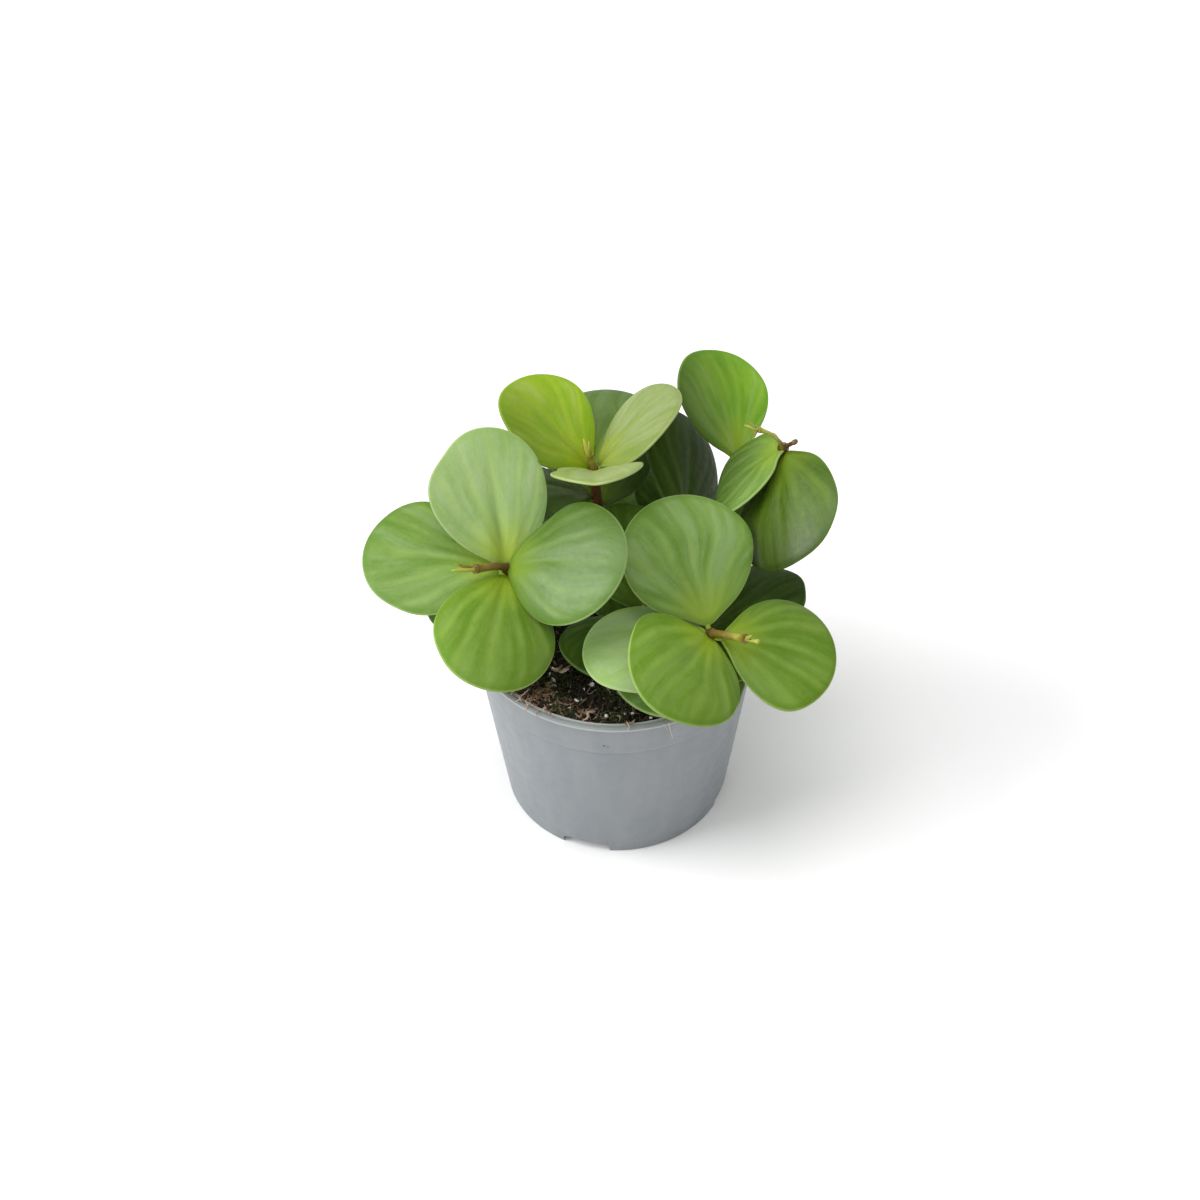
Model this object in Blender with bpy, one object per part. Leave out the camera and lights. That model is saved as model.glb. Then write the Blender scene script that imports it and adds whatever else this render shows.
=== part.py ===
"""A potted peperomia: a nursery pot of soil with leafy stems that carry whorls of round, fleshy leaves.

Run it with: blender --background --python part.py
Units are metres and +Z is up. -Y is the front, and the pot stands on z = 0.
The pot's axis is the place from which the stems and leaves are measured. It stands a little off the origin,
so that the origin is the middle of the whole plant's base.
A bearing is a compass direction in degrees, counter-clockwise from +X: 270 points to the front.
"""

import math
from dataclasses import dataclass

import bmesh
import bpy
from mathutils import Matrix, Vector, geometry, noise

MM = 0.001
GAP = 0.3 * MM
POT_AXIS = (4.5 * MM, -1.2 * MM, 0.0)

# Pot: a moulded nursery pot with a rim band and a foot ring cut by drain notches.
POT_RIM_RADIUS = 45.0 * MM
POT_FOOT_RADIUS = 35.0 * MM
POT_HEIGHT = 68.0 * MM
POT_WALL = 1.2 * MM
POT_EDGE = 0.5 * MM
POT_SIDES = 56
BAND_HEIGHT = 12.5 * MM
BAND_STEP = 0.7 * MM
FLOOR_HEIGHT = 4.0 * MM
FOOT_WIDTH = 2.4 * MM
NOTCH_WIDTH = 15.0 * MM
NOTCH_HEIGHT = 3.6 * MM
NOTCH_BEARINGS = (253.0, 343.0, 73.0, 163.0)
DRAIN_RADIUS = 3.5 * MM
DRAIN_RING = 21.0 * MM
DRAIN_BEARINGS = (28.0, 118.0, 208.0, 298.0)
DRAIN_SIDES = 14

# Soil: fills the pot to just under the rim, with a crumbly, slightly mounded top.
SOIL_EDGE = 63.0 * MM
SOIL_MOUND = 2.0 * MM
SOIL_LUMP = 1.1 * MM
SOIL_LUMP_SIZE = 6.0 * MM
SOIL_CLEARANCE = 0.5 * MM
SOIL_SIDES = 40
SOIL_RINGS = 8
HOLE_DEPTH = 9.0 * MM

# Stems: round and fleshy, thicker at the nodes where leaves sit. A bud is a pair of small folded leaves.
STEM_FOOT_RADIUS = 1.9 * MM
STEM_TOP_RADIUS = 1.4 * MM
SHOOT_RADIUS = 1.0 * MM
NODE_SWELL = 0.35 * MM
NODE_REACH = 1.8 * MM
STEM_RISE = 2.5 * MM
STEM_STEP = 3.5 * MM
STEM_SIDES = 8
BUD_SIDES = 6
BUD_SWELL = 1.15
BUD_TIP = 0.3

# Leaves: a short round petiole that widens into a thick, nearly round blade.
PETIOLE_RADIUS = 0.9 * MM
PETIOLE_REACH = 3.4
PETIOLE_STEP = 0.1 * MM
BLADE_THICKNESS = 1.7 * MM
EDGE_THICKNESS = 0.9 * MM
BASE_WEDGE = 0.18
BLADE_COLUMNS = (-1.0, -0.55, 0.0, 0.55, 1.0)
BLADE_TURNS = (13.0, 31.0, 50.0, 70.0, 90.0, 110.0, 130.0, 150.0, 168.0)


@dataclass(frozen=True)
class Leaf:
    """A leaf's direction in degrees, and in millimetres its size, curl, petiole and rise above its node."""

    bearing: float
    lift: float
    roll: float
    length: float
    width: float
    dome: float = 1.0
    droop: float = 2.0
    reach: float = PETIOLE_REACH
    rise: float = 0.0


@dataclass(frozen=True)
class Whorl:
    """A stem's node and the ring of leaves it carries. With no leaves it is a plain bend of the stem."""

    name: str
    at: tuple
    leaves: tuple


@dataclass(frozen=True)
class Bud:
    """A small tapered leaf bud or stub, from a start to a tip, with the radius of its start."""

    start: tuple
    tip: tuple
    radius: float


@dataclass(frozen=True)
class Stem:
    """A leafy stem: its foot on the pot's plan, its whorls from the lowest up, its last ring and its buds."""

    name: str
    foot: tuple
    whorls: tuple
    ring: tuple
    buds: tuple


LEFT_STEM = Stem(
    name="left",
    foot=(-20, 8),
    whorls=(
        Whorl("base", (-23, 2.5, 74), (
            Leaf(196, 0, 0, 25, 28),
        )),
        Whorl("low", (-27, -5, 84), (
            Leaf(146, -14, 12, 33, 35),
            Leaf(238, -10, 0, 29, 30),
        )),
        Whorl("top", (-32, -16.5, 108), (
            Leaf(102, 43, -19, 39.5, 40, 3.0, 1.4, 2.8),
            Leaf(168, 4, 13, 39, 39.5, 0.5, 2.1, 4.1, -2.0),
            Leaf(332, 30, -33, 38.5, 38, 0.9, 4.8, 2.8, 1.5),
            Leaf(263, -3, 11, 39.5, 37, 1.3, 3.1, 3.3, -1.0),
        )),
    ),
    ring=(-41, -22.5, 114),
    buds=(
        Bud((-41, -22.5, 114), (-47.5, -27, 118), 0.85),
        Bud((-41, -22.5, 114), (-44, -23.5, 118), 0.6),
    ),
)

CENTRE_STEM = Stem(
    name="centre",
    foot=(-4, 24),
    whorls=(
        Whorl("foot", (-4, 25, 72), (
            Leaf(62, 0, 0, 30, 30),
            Leaf(299, 0, 0, 26, 27),
        )),
        Whorl("base", (-4.5, 26, 79.5), (
            Leaf(150, 4, 0, 32, 32),
        )),
        Whorl("low", (-5, 26, 92.5), (
            Leaf(88, 15, -3, 36, 35, rise=-3.0),
            Leaf(194, 20, -8, 33.5, 33),
        )),
        Whorl("top", (-6, 22, 111), (
            Leaf(142, 33, -12, 34, 39, -0.7, 0.5, 2.9),
            Leaf(27, 36, 26, 31, 39.5, -1.5, 0.5, 3.7),
            Leaf(271, 40, -2, 38, 31, -3.4, 2.0, 3.0, -1.0),
            Leaf(87, -5, 7, 38, 38, 1.0, 0.5, rise=-0.6),
        )),
    ),
    ring=(-7, 22.5, 117),
    buds=(Bud((-7, 22.5, 117), (-9.1, 24, 119.5), 0.7), Bud((-7, 22.5, 117), (-7.8, 24, 122.5), 0.8)),
)

FRONT_STEM = Stem(
    name="front",
    foot=(16, -12),
    whorls=(
        Whorl("base", (18.5, -15, 70.5), (
            Leaf(302, 2, 0, 25, 26, reach=3.8),
        )),
        Whorl("low", (24, -20, 78), (
            Leaf(46, 1, 17, 37, 38, reach=3.7),
            Leaf(227, 4, 2, 25.5, 31, rise=-2.5),
            Leaf(339, -9, 0, 20, 22),
        )),
        Whorl("top", (28, -31, 94), (
            Leaf(108, 30, -3, 41, 40.5, -1.4, 2.0, 3.6),
            Leaf(248, 16, 27, 37.5, 36.5, -1.4, 5.4, 2.6),
            Leaf(356, -13, -10, 34, 39, 1.4, 1.8, 4.4),
            Leaf(189, -3, -4, 35.5, 39.5, 1.3, 1.8, 2.8),
        )),
    ),
    ring=(37.5, -39, 100),
    buds=(Bud((37.5, -39, 100), (41, -41.6, 101.5), 0.8), Bud((37.5, -39, 100), (39, -41, 103.5), 0.7)),
)

RIGHT_STEM = Stem(
    name="right",
    foot=(28, 25),
    whorls=(
        Whorl("base", (30.5, 28, 73), (
            Leaf(20, -4, 0, 24, 28),
        )),
        Whorl("low", (34, 33, 82), (
            Leaf(0, -4, 0, 28, 30),
        )),
        Whorl("mid", (39, 40, 97.5), (
            Leaf(108, 40, -32, 33.5, 40, -0.8, 1.9, 2.6),
        )),
        Whorl("bend", (49.5, 33, 104), ()),
        Whorl("top", (51, 22, 119), (
            Leaf(188, -41, -17, 27, 35, -1.4, 1.7, 2.6, 0.8),
            Leaf(264, -12, -39, 37, 38, 2.5, 5.5, 2.8, -0.4),
        )),
    ),
    ring=(46, 21, 126),
    buds=(
        Bud((46, 21, 126), (41, 21, 128.5), 0.8),
        Bud((46, 21, 126), (43, 19.5, 125.5), 0.6),
        Bud((51, 22, 119), (54.5, 19, 124), 1.1),
    ),
)

MIDDLE_STEM = Stem(
    name="middle",
    foot=(8, -6),
    whorls=(
        Whorl("top", (8, -10.5, 81), (
            Leaf(98, 24, -12, 35, 33),
            Leaf(232, 4, -5, 25, 35),
        )),
    ),
    ring=(8, -11, 84),
    buds=(Bud((8, -11, 84), (8.3, -11.5, 86.5), 0.8),),
)

BACK_STEM = Stem(
    name="back",
    foot=(17, 18),
    whorls=(
        Whorl("low", (20, 21, 77), (
            Leaf(90, 5, -22, 27, 28),
        )),
        Whorl("top", (21.5, 21.5, 84), (
            Leaf(85, 24, -56, 36, 38),
        )),
    ),
    ring=(22, 20, 88),
    buds=(Bud((22, 20, 88), (22.5, 19, 92), 0.8),),
)

STEMS = (LEFT_STEM, CENTRE_STEM, FRONT_STEM, RIGHT_STEM, MIDDLE_STEM, BACK_STEM)


def clear_scene():
    """Removes every object of the open file."""
    for thing in list(bpy.data.objects):
        bpy.data.objects.remove(thing)


def finish(name, colour, roughness):
    """A plain Principled material of one colour."""
    made = bpy.data.materials.new(name)
    made.use_nodes = True
    shader = made.node_tree.nodes["Principled BSDF"]
    shader.inputs["Base Color"].default_value = (*colour, 1.0)
    shader.inputs["Roughness"].default_value = roughness
    shader.inputs["Metallic"].default_value = 0.0
    return made


def mesh_from(name, points, faces):
    """A mesh of these points and faces, with its normals turned outwards."""
    mesh = bpy.data.meshes.new(name)
    mesh.from_pydata([tuple(p) for p in points], [], faces)
    work = bmesh.new()
    work.from_mesh(mesh)
    bmesh.ops.recalc_face_normals(work, faces=work.faces)
    work.to_mesh(mesh)
    work.free()
    return mesh


def link(name, mesh, parent=None):
    """Links a mesh as an object, under a parent if there is one."""
    thing = bpy.data.objects.new(name, mesh)
    bpy.context.scene.collection.objects.link(thing)
    thing.parent = parent
    return thing


def shade(thing, material, sharp_from):
    """Gives an object its material and smooth shading, with sharp edges from an angle in degrees."""
    thing.data.materials.clear()
    thing.data.materials.append(material)
    thing.data.shade_smooth()
    thing.data.set_sharp_from_angle(angle=math.radians(sharp_from))


def compass(bearing, lift=0.0):
    """The unit vector that points along a bearing and rises by lift degrees."""
    b, up = math.radians(bearing), math.radians(lift)
    return Vector((math.cos(up) * math.cos(b), math.cos(up) * math.sin(b), math.sin(up)))


def raised(point, height):
    """The point moved to a height."""
    return Vector((point[0], point[1], height))


def loft(rings):
    """Points and faces of a closed solid through rings of equal point count, capped at both ends."""
    count = len(rings[0])
    points = [point for ring in rings for point in ring]
    faces = [tuple(reversed(range(count)))]
    for level in range(len(rings) - 1):
        first = level * count
        for i in range(count):
            j = (i + 1) % count
            faces.append((first + i, first + j, first + count + j, first + count + i))
    last = (len(rings) - 1) * count
    faces.append(tuple(range(last, last + count)))
    return points, faces


def turned(profile, sides):
    """Points and faces of a ring turned about Z from a closed (radius, height) profile clear of the axis."""
    points = []
    for step in range(sides):
        side = compass(360.0 * step / sides)
        points += [raised(side * radius, height) for radius, height in profile]
    count = len(profile)
    faces = []
    for step in range(sides):
        here, there = step * count, (step + 1) % sides * count
        for i in range(count):
            j = (i + 1) % count
            faces.append((here + i, there + i, there + j, here + j))
    return points, faces


def cut(thing, cutters):
    """Cuts each cutter out of an object with an exact Boolean. The cutters stay as hidden helpers."""
    for cutter in cutters:
        cutter.hide_render = True
        cutter.display_type = "WIRE"
        modifier = thing.modifiers.new("cut_" + cutter.name, "BOOLEAN")
        modifier.operation = "DIFFERENCE"
        modifier.solver = "EXACT"
        modifier.object = cutter


def fuse(thing, pieces):
    """Joins pieces to an object with one exact Boolean, applied, and removes them."""
    group = bpy.data.collections.new("pieces_of_" + thing.name)
    bpy.context.scene.collection.children.link(group)
    for piece in pieces:
        bpy.context.scene.collection.objects.unlink(piece)
        group.objects.link(piece)
    modifier = thing.modifiers.new("fuse", "BOOLEAN")
    modifier.operation = "UNION"
    modifier.solver = "EXACT"
    modifier.operand_type = "COLLECTION"
    modifier.collection = group
    bpy.context.view_layer.update()
    joined = thing.evaluated_get(bpy.context.evaluated_depsgraph_get())
    thing.data = bpy.data.meshes.new_from_object(joined)
    thing.modifiers.clear()
    for piece in pieces:
        bpy.data.objects.remove(piece)
    bpy.data.collections.remove(group)


def upright_cylinder(name, radius, low, high, centre, sides, parent):
    """A plain upright cylinder, used as a cutter."""
    ring = [compass(360.0 * i / sides) * radius + raised(centre, 0.0) for i in range(sides)]
    points, faces = loft([[raised(p, z) for p in ring] for z in (low, high)])
    return link(name, mesh_from(name, points, faces), parent)


def wall_radius(height):
    """The outer radius of the pot's tapered wall at a height."""
    return POT_FOOT_RADIUS + (POT_RIM_RADIUS - BAND_STEP - POT_FOOT_RADIUS) * height / POT_HEIGHT


def pot_profile():
    """The pot's section: outer wall, rim band, inner wall, floor with a middle drain hole, and foot ring."""
    band_low = POT_HEIGHT - BAND_HEIGHT
    inner_floor = FLOOR_HEIGHT + POT_WALL
    foot_inner = POT_FOOT_RADIUS - FOOT_WIDTH
    return [
        (POT_FOOT_RADIUS - POT_EDGE, 0.0),
        (wall_radius(POT_EDGE), POT_EDGE),
        (wall_radius(band_low - BAND_STEP), band_low - BAND_STEP),
        (wall_radius(band_low) + BAND_STEP, band_low),
        (POT_RIM_RADIUS, POT_HEIGHT - POT_EDGE),
        (POT_RIM_RADIUS - POT_EDGE, POT_HEIGHT),
        (POT_RIM_RADIUS - BAND_STEP - POT_WALL, POT_HEIGHT),
        (wall_radius(inner_floor) - POT_WALL, inner_floor),
        (DRAIN_RADIUS, inner_floor),
        (DRAIN_RADIUS, FLOOR_HEIGHT),
        (foot_inner, FLOOR_HEIGHT),
        (foot_inner, 0.0),
    ]


def notch_cutter(name, bearing, parent):
    """A block that cuts one drain notch through the foot ring, with its upper corners cut off."""
    along, across = compass(bearing), compass(bearing + 90.0)
    half, corner = NOTCH_WIDTH / 2, NOTCH_HEIGHT / 2
    section = [(-half, -NOTCH_HEIGHT), (half, -NOTCH_HEIGHT), (half, NOTCH_HEIGHT - corner)]
    section += [(half - corner, NOTCH_HEIGHT), (corner - half, NOTCH_HEIGHT), (-half, NOTCH_HEIGHT - corner)]
    rings = []
    for reach in (POT_FOOT_RADIUS - 2.5 * FOOT_WIDTH, POT_FOOT_RADIUS + FOOT_WIDTH):
        rings.append([raised(along * reach + across * y, z) for y, z in section])
    points, faces = loft(rings)
    return link(name, mesh_from(name, points, faces), parent)


def make_pot(parent, material):
    """The nursery pot, with its foot notches and drain holes cut."""
    points, faces = turned(pot_profile(), POT_SIDES)
    pot = link("pot", mesh_from("pot", points, faces), parent)
    shade(pot, material, 40.0)
    cutters = [notch_cutter(f"notch_{i}", b, parent) for i, b in enumerate(NOTCH_BEARINGS, 1)]
    for i, bearing in enumerate(DRAIN_BEARINGS, 1):
        place = compass(bearing) * DRAIN_RING
        low, high = FLOOR_HEIGHT - POT_WALL, FLOOR_HEIGHT + 2 * POT_WALL
        cutters.append(upright_cylinder(f"drain_{i}", DRAIN_RADIUS, low, high, place, DRAIN_SIDES, parent))
    cut(pot, cutters)


def soil_height(x, y):
    """The height of the soil's crumbly top: a low mound with lumps from a fixed noise field."""
    share = min(1.0, math.hypot(x, y) / POT_RIM_RADIUS)
    lump = noise.noise(Vector((x, y, 0.0)) / SOIL_LUMP_SIZE)
    return SOIL_EDGE + SOIL_MOUND * (1.0 - share**2) + SOIL_LUMP * lump


def soil_body():
    """Points and faces of the soil: a tapered plug with a lumpy top."""
    floor = FLOOR_HEIGHT + POT_WALL + GAP
    inset = POT_WALL + SOIL_CLEARANCE
    top_radius = wall_radius(SOIL_EDGE) - inset
    points = [Vector((0.0, 0.0, floor))]
    for step in range(SOIL_SIDES):
        points.append(raised(compass(360.0 * step / SOIL_SIDES) * (wall_radius(floor) - inset), floor))
    for ring in range(SOIL_RINGS):
        for step in range(SOIL_SIDES):
            place = compass(360.0 * step / SOIL_SIDES) * top_radius * (1.0 - ring / SOIL_RINGS)
            points.append(raised(place, soil_height(place.x, place.y)))
    points.append(Vector((0.0, 0.0, soil_height(0.0, 0.0))))
    faces = []
    for i in range(SOIL_SIDES):
        j = (i + 1) % SOIL_SIDES
        faces.append((0, 1 + j, 1 + i))
        for ring in range(SOIL_RINGS):
            first, second = 1 + ring * SOIL_SIDES, 1 + (ring + 1) * SOIL_SIDES
            faces.append((first + i, first + j, second + j, second + i))
        last = 1 + SOIL_RINGS * SOIL_SIDES
        faces.append((last + i, last + j, len(points) - 1))
    return points, faces


def make_soil(parent, material):
    """The soil that fills the pot, with a plain hole for each stem."""
    points, faces = soil_body()
    soil = link("soil", mesh_from("soil", points, faces), parent)
    shade(soil, material, 60.0)
    holes = []
    for stem in STEMS:
        place = Vector((*stem.foot, 0.0)) * MM
        low = soil_height(place.x, place.y) - HOLE_DEPTH - GAP
        radius = STEM_FOOT_RADIUS + GAP
        holes.append(upright_cylinder(f"hole_{stem.name}", radius, low, POT_HEIGHT, place, STEM_SIDES, parent))
    cut(soil, holes)


def stem_stops(stem):
    """Where a stem passes: a point just above the soil, its nodes and bends, and its last ring."""
    x, y = stem.foot[0] * MM, stem.foot[1] * MM
    stops = [Vector((x, y, soil_height(x, y) + STEM_RISE))]
    stops += [Vector(whorl.at) * MM for whorl in stem.whorls]
    stops.append(Vector(stem.ring) * MM)
    return stops


def smooth_route(stops):
    """Points along a Catmull-Rom curve through the stops, about one step apart."""
    ends = [stops[0] * 2 - stops[1], *stops, stops[-1] * 2 - stops[-2]]
    route = []
    for k in range(1, len(ends) - 2):
        a, b, c, d = ends[k - 1 : k + 3]
        steps = max(2, round((c - b).length / STEM_STEP))
        for i in range(steps):
            t = i / steps
            bend = (2 * a - 5 * b + 4 * c - d) * t**2 + (3 * b - a - 3 * c + d) * t**3
            route.append(0.5 * (2 * b + (c - a) * t + bend))
    route.append(stops[-1])
    return route


def round_ring(centre, heading, guide, radius, sides):
    """A ring of points about a centre, square to the heading and started from a guide direction."""
    across = (guide - heading * guide.dot(heading)).normalized()
    other = heading.cross(across)
    turns = [math.tau * i / sides for i in range(sides)]
    return [centre + (across * math.cos(a) + other * math.sin(a)) * radius for a in turns]


def stem_radius(height, top):
    """A stem's radius at a height, thinner towards its top node."""
    share = min(1.0, max(0.0, (height - SOIL_EDGE) / (top - SOIL_EDGE)))
    return STEM_FOOT_RADIUS + (STEM_TOP_RADIUS - STEM_FOOT_RADIUS) * share


def node_swelling(point, nodes):
    """How much thicker a stem is at a point because of the nearest node."""
    nearest = min((point - node).length for node in nodes)
    return NODE_SWELL * math.exp(-((nearest / NODE_REACH) ** 2))


def make_bud(name, bud, parent):
    """One small tapered bud, as a solid that starts inside the stem's end."""
    start, tip = Vector(bud.start) * MM, Vector(bud.tip) * MM
    heading = (tip - start).normalized()
    guide = Vector((0, 0, 1)) if abs(heading.z) < 0.9 else Vector((1, 0, 0))
    rings = []
    for along, width in ((0.0, 1.0), (0.35, BUD_SWELL), (0.7, 0.85), (1.0, BUD_TIP)):
        rings.append(round_ring(start.lerp(tip, along), heading, guide, bud.radius * MM * width, BUD_SIDES))
    points, faces = loft(rings)
    return link(name, mesh_from(name, points, faces), parent)


def stem_line(stem):
    """The stem's middle points and radii, from its foot in the soil to its last ring."""
    stops = stem_stops(stem)
    nodes = [stop for stop, whorl in zip(stops[1:], stem.whorls) if whorl.leaves] + [stops[-1]]
    route = smooth_route(stops)
    top = min(range(len(route)), key=lambda i: (route[i] - stops[-2]).length)
    line = [(route[0] - Vector((0, 0, HOLE_DEPTH + STEM_RISE)), STEM_FOOT_RADIUS)]
    for i, point in enumerate(route):
        radius = SHOOT_RADIUS if i > top else stem_radius(point.z, stops[-2].z)
        line.append((point, radius + node_swelling(point, nodes)))
    return line


def make_stem(stem, parent, material):
    """One stem from its foot in the soil to its last ring, with its buds fused on."""
    line = stem_line(stem)
    guide = Vector((1, 0, 0))
    rings = []
    for i, (point, radius) in enumerate(line):
        before = line[max(i - 1, 0)][0]
        after = line[min(i + 1, len(line) - 1)][0]
        heading = (after - before).normalized() if i else Vector((0, 0, 1))
        rings.append(round_ring(point, heading, guide, radius, STEM_SIDES))
        guide = (rings[-1][0] - point).normalized()
    points, faces = loft(rings)
    thing = link(f"stem_{stem.name}", mesh_from(f"stem_{stem.name}", points, faces), parent)
    fuse(thing, [make_bud(f"bud_{i}", bud, parent) for i, bud in enumerate(stem.buds)])
    shade(thing, material, 50.0)


def blade_section(x, half, leaf, middle, edge):
    """The upper and lower points of one section of a leaf, bowed by its dome and thinner at its edges."""
    upper, lower = [], []
    share = max(0.0, x / MM - leaf.reach) / leaf.length
    for column in BLADE_COLUMNS:
        y = column * half
        z = -leaf.dome * MM * (2 * y / (leaf.width * MM)) ** 2 - leaf.droop * MM * share**2
        thick = edge + (middle - edge) * (1.0 - column**2)
        upper.append(Vector((x, y, z + thick / 2)))
        lower.append(Vector((x, y, z - thick / 2)))
    return upper + lower


def blade_half_width(leaf, share):
    """Half the blade's width at a share of its length: nearly round, and a little wedged at the base."""
    half = leaf.width * MM / 2 * math.sqrt(1.0 - (2.0 * share - 1.0) ** 2)
    return max(half * (1.0 - BASE_WEDGE * (1.0 - share) ** 3), PETIOLE_RADIUS)


def leaf_faces(levels):
    """Faces of a leaf's sections, with its upper and lower side split into triangles alike."""
    columns = len(BLADE_COLUMNS)
    faces = []
    for level in range(levels):
        here = level * 2 * columns
        if level in (0, levels - 1):
            for c in range(here, here + columns - 1):
                faces.append((c, c + 1, c + 1 + columns, c + columns))
        if level == levels - 1:
            break
        there = here + 2 * columns
        for side in (0, columns):
            for c in range(side, side + columns - 1):
                faces.append((here + c, here + c + 1, there + c + 1))
                faces.append((here + c, there + c + 1, there + c))
        for c in (0, columns - 1):
            faces.append((here + c, there + c, there + c + columns, here + c + columns))
    return faces


def outside_stem(point, line):
    """How far a point lies outside a stem's skin."""
    nearest = math.inf
    for (low, low_radius), (high, high_radius) in zip(line, line[1:]):
        share = min(1.0, max(0.0, geometry.intersect_point_line(point, low, high)[1]))
        radius = low_radius + (high_radius - low_radius) * share
        nearest = min(nearest, (point - low.lerp(high, share)).length - radius)
    return nearest


def petiole_start(origin, forward, upright, reach, line):
    """How far out along a leaf its petiole starts, so that its whole end clears the stem by the gap."""
    start = 0.0
    while start < reach:
        end = round_ring(origin + forward * start, forward, upright, PETIOLE_RADIUS, STEM_SIDES)
        if min(outside_stem(point, line) for point in end) >= GAP:
            break
        start += PETIOLE_STEP
    return min(start, reach)


def make_leaf(name, leaf, origin, line, parent, material):
    """One leaf: a short round petiole and a thick blade, as one body that grows along its own X."""
    forward, upright = compass(leaf.bearing, leaf.lift), compass(leaf.bearing, leaf.lift + 90.0)
    rings = []
    for x in (petiole_start(origin, forward, upright, leaf.reach * MM, line), leaf.reach * MM + GAP):
        rings.append(blade_section(x, PETIOLE_RADIUS, leaf, 2 * PETIOLE_RADIUS, PETIOLE_RADIUS))
    for turn in BLADE_TURNS:
        share = (1.0 - math.cos(math.radians(turn))) / 2
        x = (leaf.reach + share * leaf.length) * MM
        rings.append(blade_section(x, blade_half_width(leaf, share), leaf, BLADE_THICKNESS, EDGE_THICKNESS))
    points = [point for ring in rings for point in ring]
    thing = link(name, mesh_from(name, points, leaf_faces(len(rings))), parent)
    axes = Matrix((forward, upright.cross(forward), upright)).transposed()
    thing.rotation_euler = (axes @ Matrix.Rotation(math.radians(-leaf.roll), 3, "X")).to_euler()
    thing.location = origin
    shade(thing, material, 60.0)


def make_leaves(stem, parent, material):
    """All the leaves of one stem, each at its node."""
    line = stem_line(stem)
    for whorl in stem.whorls:
        for number, leaf in enumerate(whorl.leaves, 1):
            name = f"leaf_{stem.name}_{whorl.name}_{number}"
            origin = (Vector(whorl.at) + Vector((0, 0, leaf.rise))) * MM
            make_leaf(name, leaf, origin, line, parent, material)


def main():
    """Builds the pot, the soil, the stems and the leaves about the pot's axis."""
    clear_scene()
    axis = link("pot_axis", None)
    axis.location = POT_AXIS
    make_pot(axis, finish("pot_plastic", (0.42, 0.45, 0.48), 0.5))
    make_soil(axis, finish("soil_peat", (0.05, 0.035, 0.025), 0.95))
    skin = finish("stem_skin", (0.33, 0.2, 0.08), 0.5)
    green = finish("leaf_green", (0.25, 0.42, 0.1), 0.4)
    for stem in STEMS:
        make_stem(stem, axis, skin)
        make_leaves(stem, axis, green)


main()
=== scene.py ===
"""The looks of a potted peperomia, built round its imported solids.

Lengths are metres in the frame of the solids, and +Z is up. -Y is the front. Stems and leaves are measured
in millimetres from the pot's axis, and a bearing is a compass direction in degrees, counter-clockwise
from +X.
"""

import logging
import math
from collections.abc import Mapping, Sequence
from dataclasses import dataclass, field
from enum import Enum
from typing import ClassVar

import bmesh
import bpy
from mathutils import Matrix, Vector, noise


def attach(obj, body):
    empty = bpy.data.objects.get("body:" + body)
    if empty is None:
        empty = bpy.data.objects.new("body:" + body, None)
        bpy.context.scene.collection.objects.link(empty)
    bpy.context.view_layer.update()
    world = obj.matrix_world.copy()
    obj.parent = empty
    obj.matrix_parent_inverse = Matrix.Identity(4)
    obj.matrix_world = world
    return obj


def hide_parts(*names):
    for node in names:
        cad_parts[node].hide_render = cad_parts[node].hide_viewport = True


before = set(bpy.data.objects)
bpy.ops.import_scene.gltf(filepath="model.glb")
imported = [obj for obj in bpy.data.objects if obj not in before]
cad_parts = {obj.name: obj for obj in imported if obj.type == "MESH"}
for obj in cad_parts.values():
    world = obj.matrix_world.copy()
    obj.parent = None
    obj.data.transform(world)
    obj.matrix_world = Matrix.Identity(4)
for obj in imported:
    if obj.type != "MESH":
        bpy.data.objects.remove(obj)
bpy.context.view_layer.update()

LOG = logging.getLogger("potted_peperomia")
MM = 0.001
POT_AXIS = Vector((4.5, -1.2, 0.0)) * MM
UP = Vector((0.0, 0.0, 1.0))
BODY = "root"

Colour = tuple[float, float, float]
Point = tuple[float, float, float]
Faces = list[tuple[int, ...]]
Solid = tuple[list[Vector], Faces]
Looks = dict[str, bpy.types.Material]
Socket = bpy.types.NodeSocket


def compass(bearing: float, lift: float = 0.0) -> Vector:
    """Gives the unit vector along a bearing.

    Args:
        bearing: Direction in plan, in degrees counter-clockwise from +X.
        lift: Rise above the level, in degrees.

    Returns:
        The unit vector.
    """
    turn, rise = math.radians(bearing), math.radians(lift)
    return Vector((math.cos(rise) * math.cos(turn), math.cos(rise) * math.sin(turn), math.sin(rise)))


def smooth_step(value: float, low: float, high: float) -> float:
    """Eases a value from 0 at low to 1 at high.

    Args:
        value: The value.
        low: Where the result leaves 0.
        high: Where the result reaches 1.

    Returns:
        A number from 0 to 1.
    """
    share = min(1.0, max(0.0, (value - low) / (high - low)))
    return share * share * (3.0 - 2.0 * share)


def bell(away: float, width: float) -> float:
    """Gives a smooth hump, which is 1 at 0 and next to nothing beyond twice its width."""
    return math.exp(-((away / width) ** 2))


def ring(centre: Vector, first: Vector, second: Vector, count: int) -> list[Vector]:
    """Places points evenly round an ellipse.

    Args:
        centre: Its middle.
        first: Its first half axis.
        second: Its second half axis.
        count: How many points it has.

    Returns:
        The points.
    """
    turns = [math.tau * i / count for i in range(count)]
    return [centre + first * math.cos(turn) + second * math.sin(turn) for turn in turns]


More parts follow.
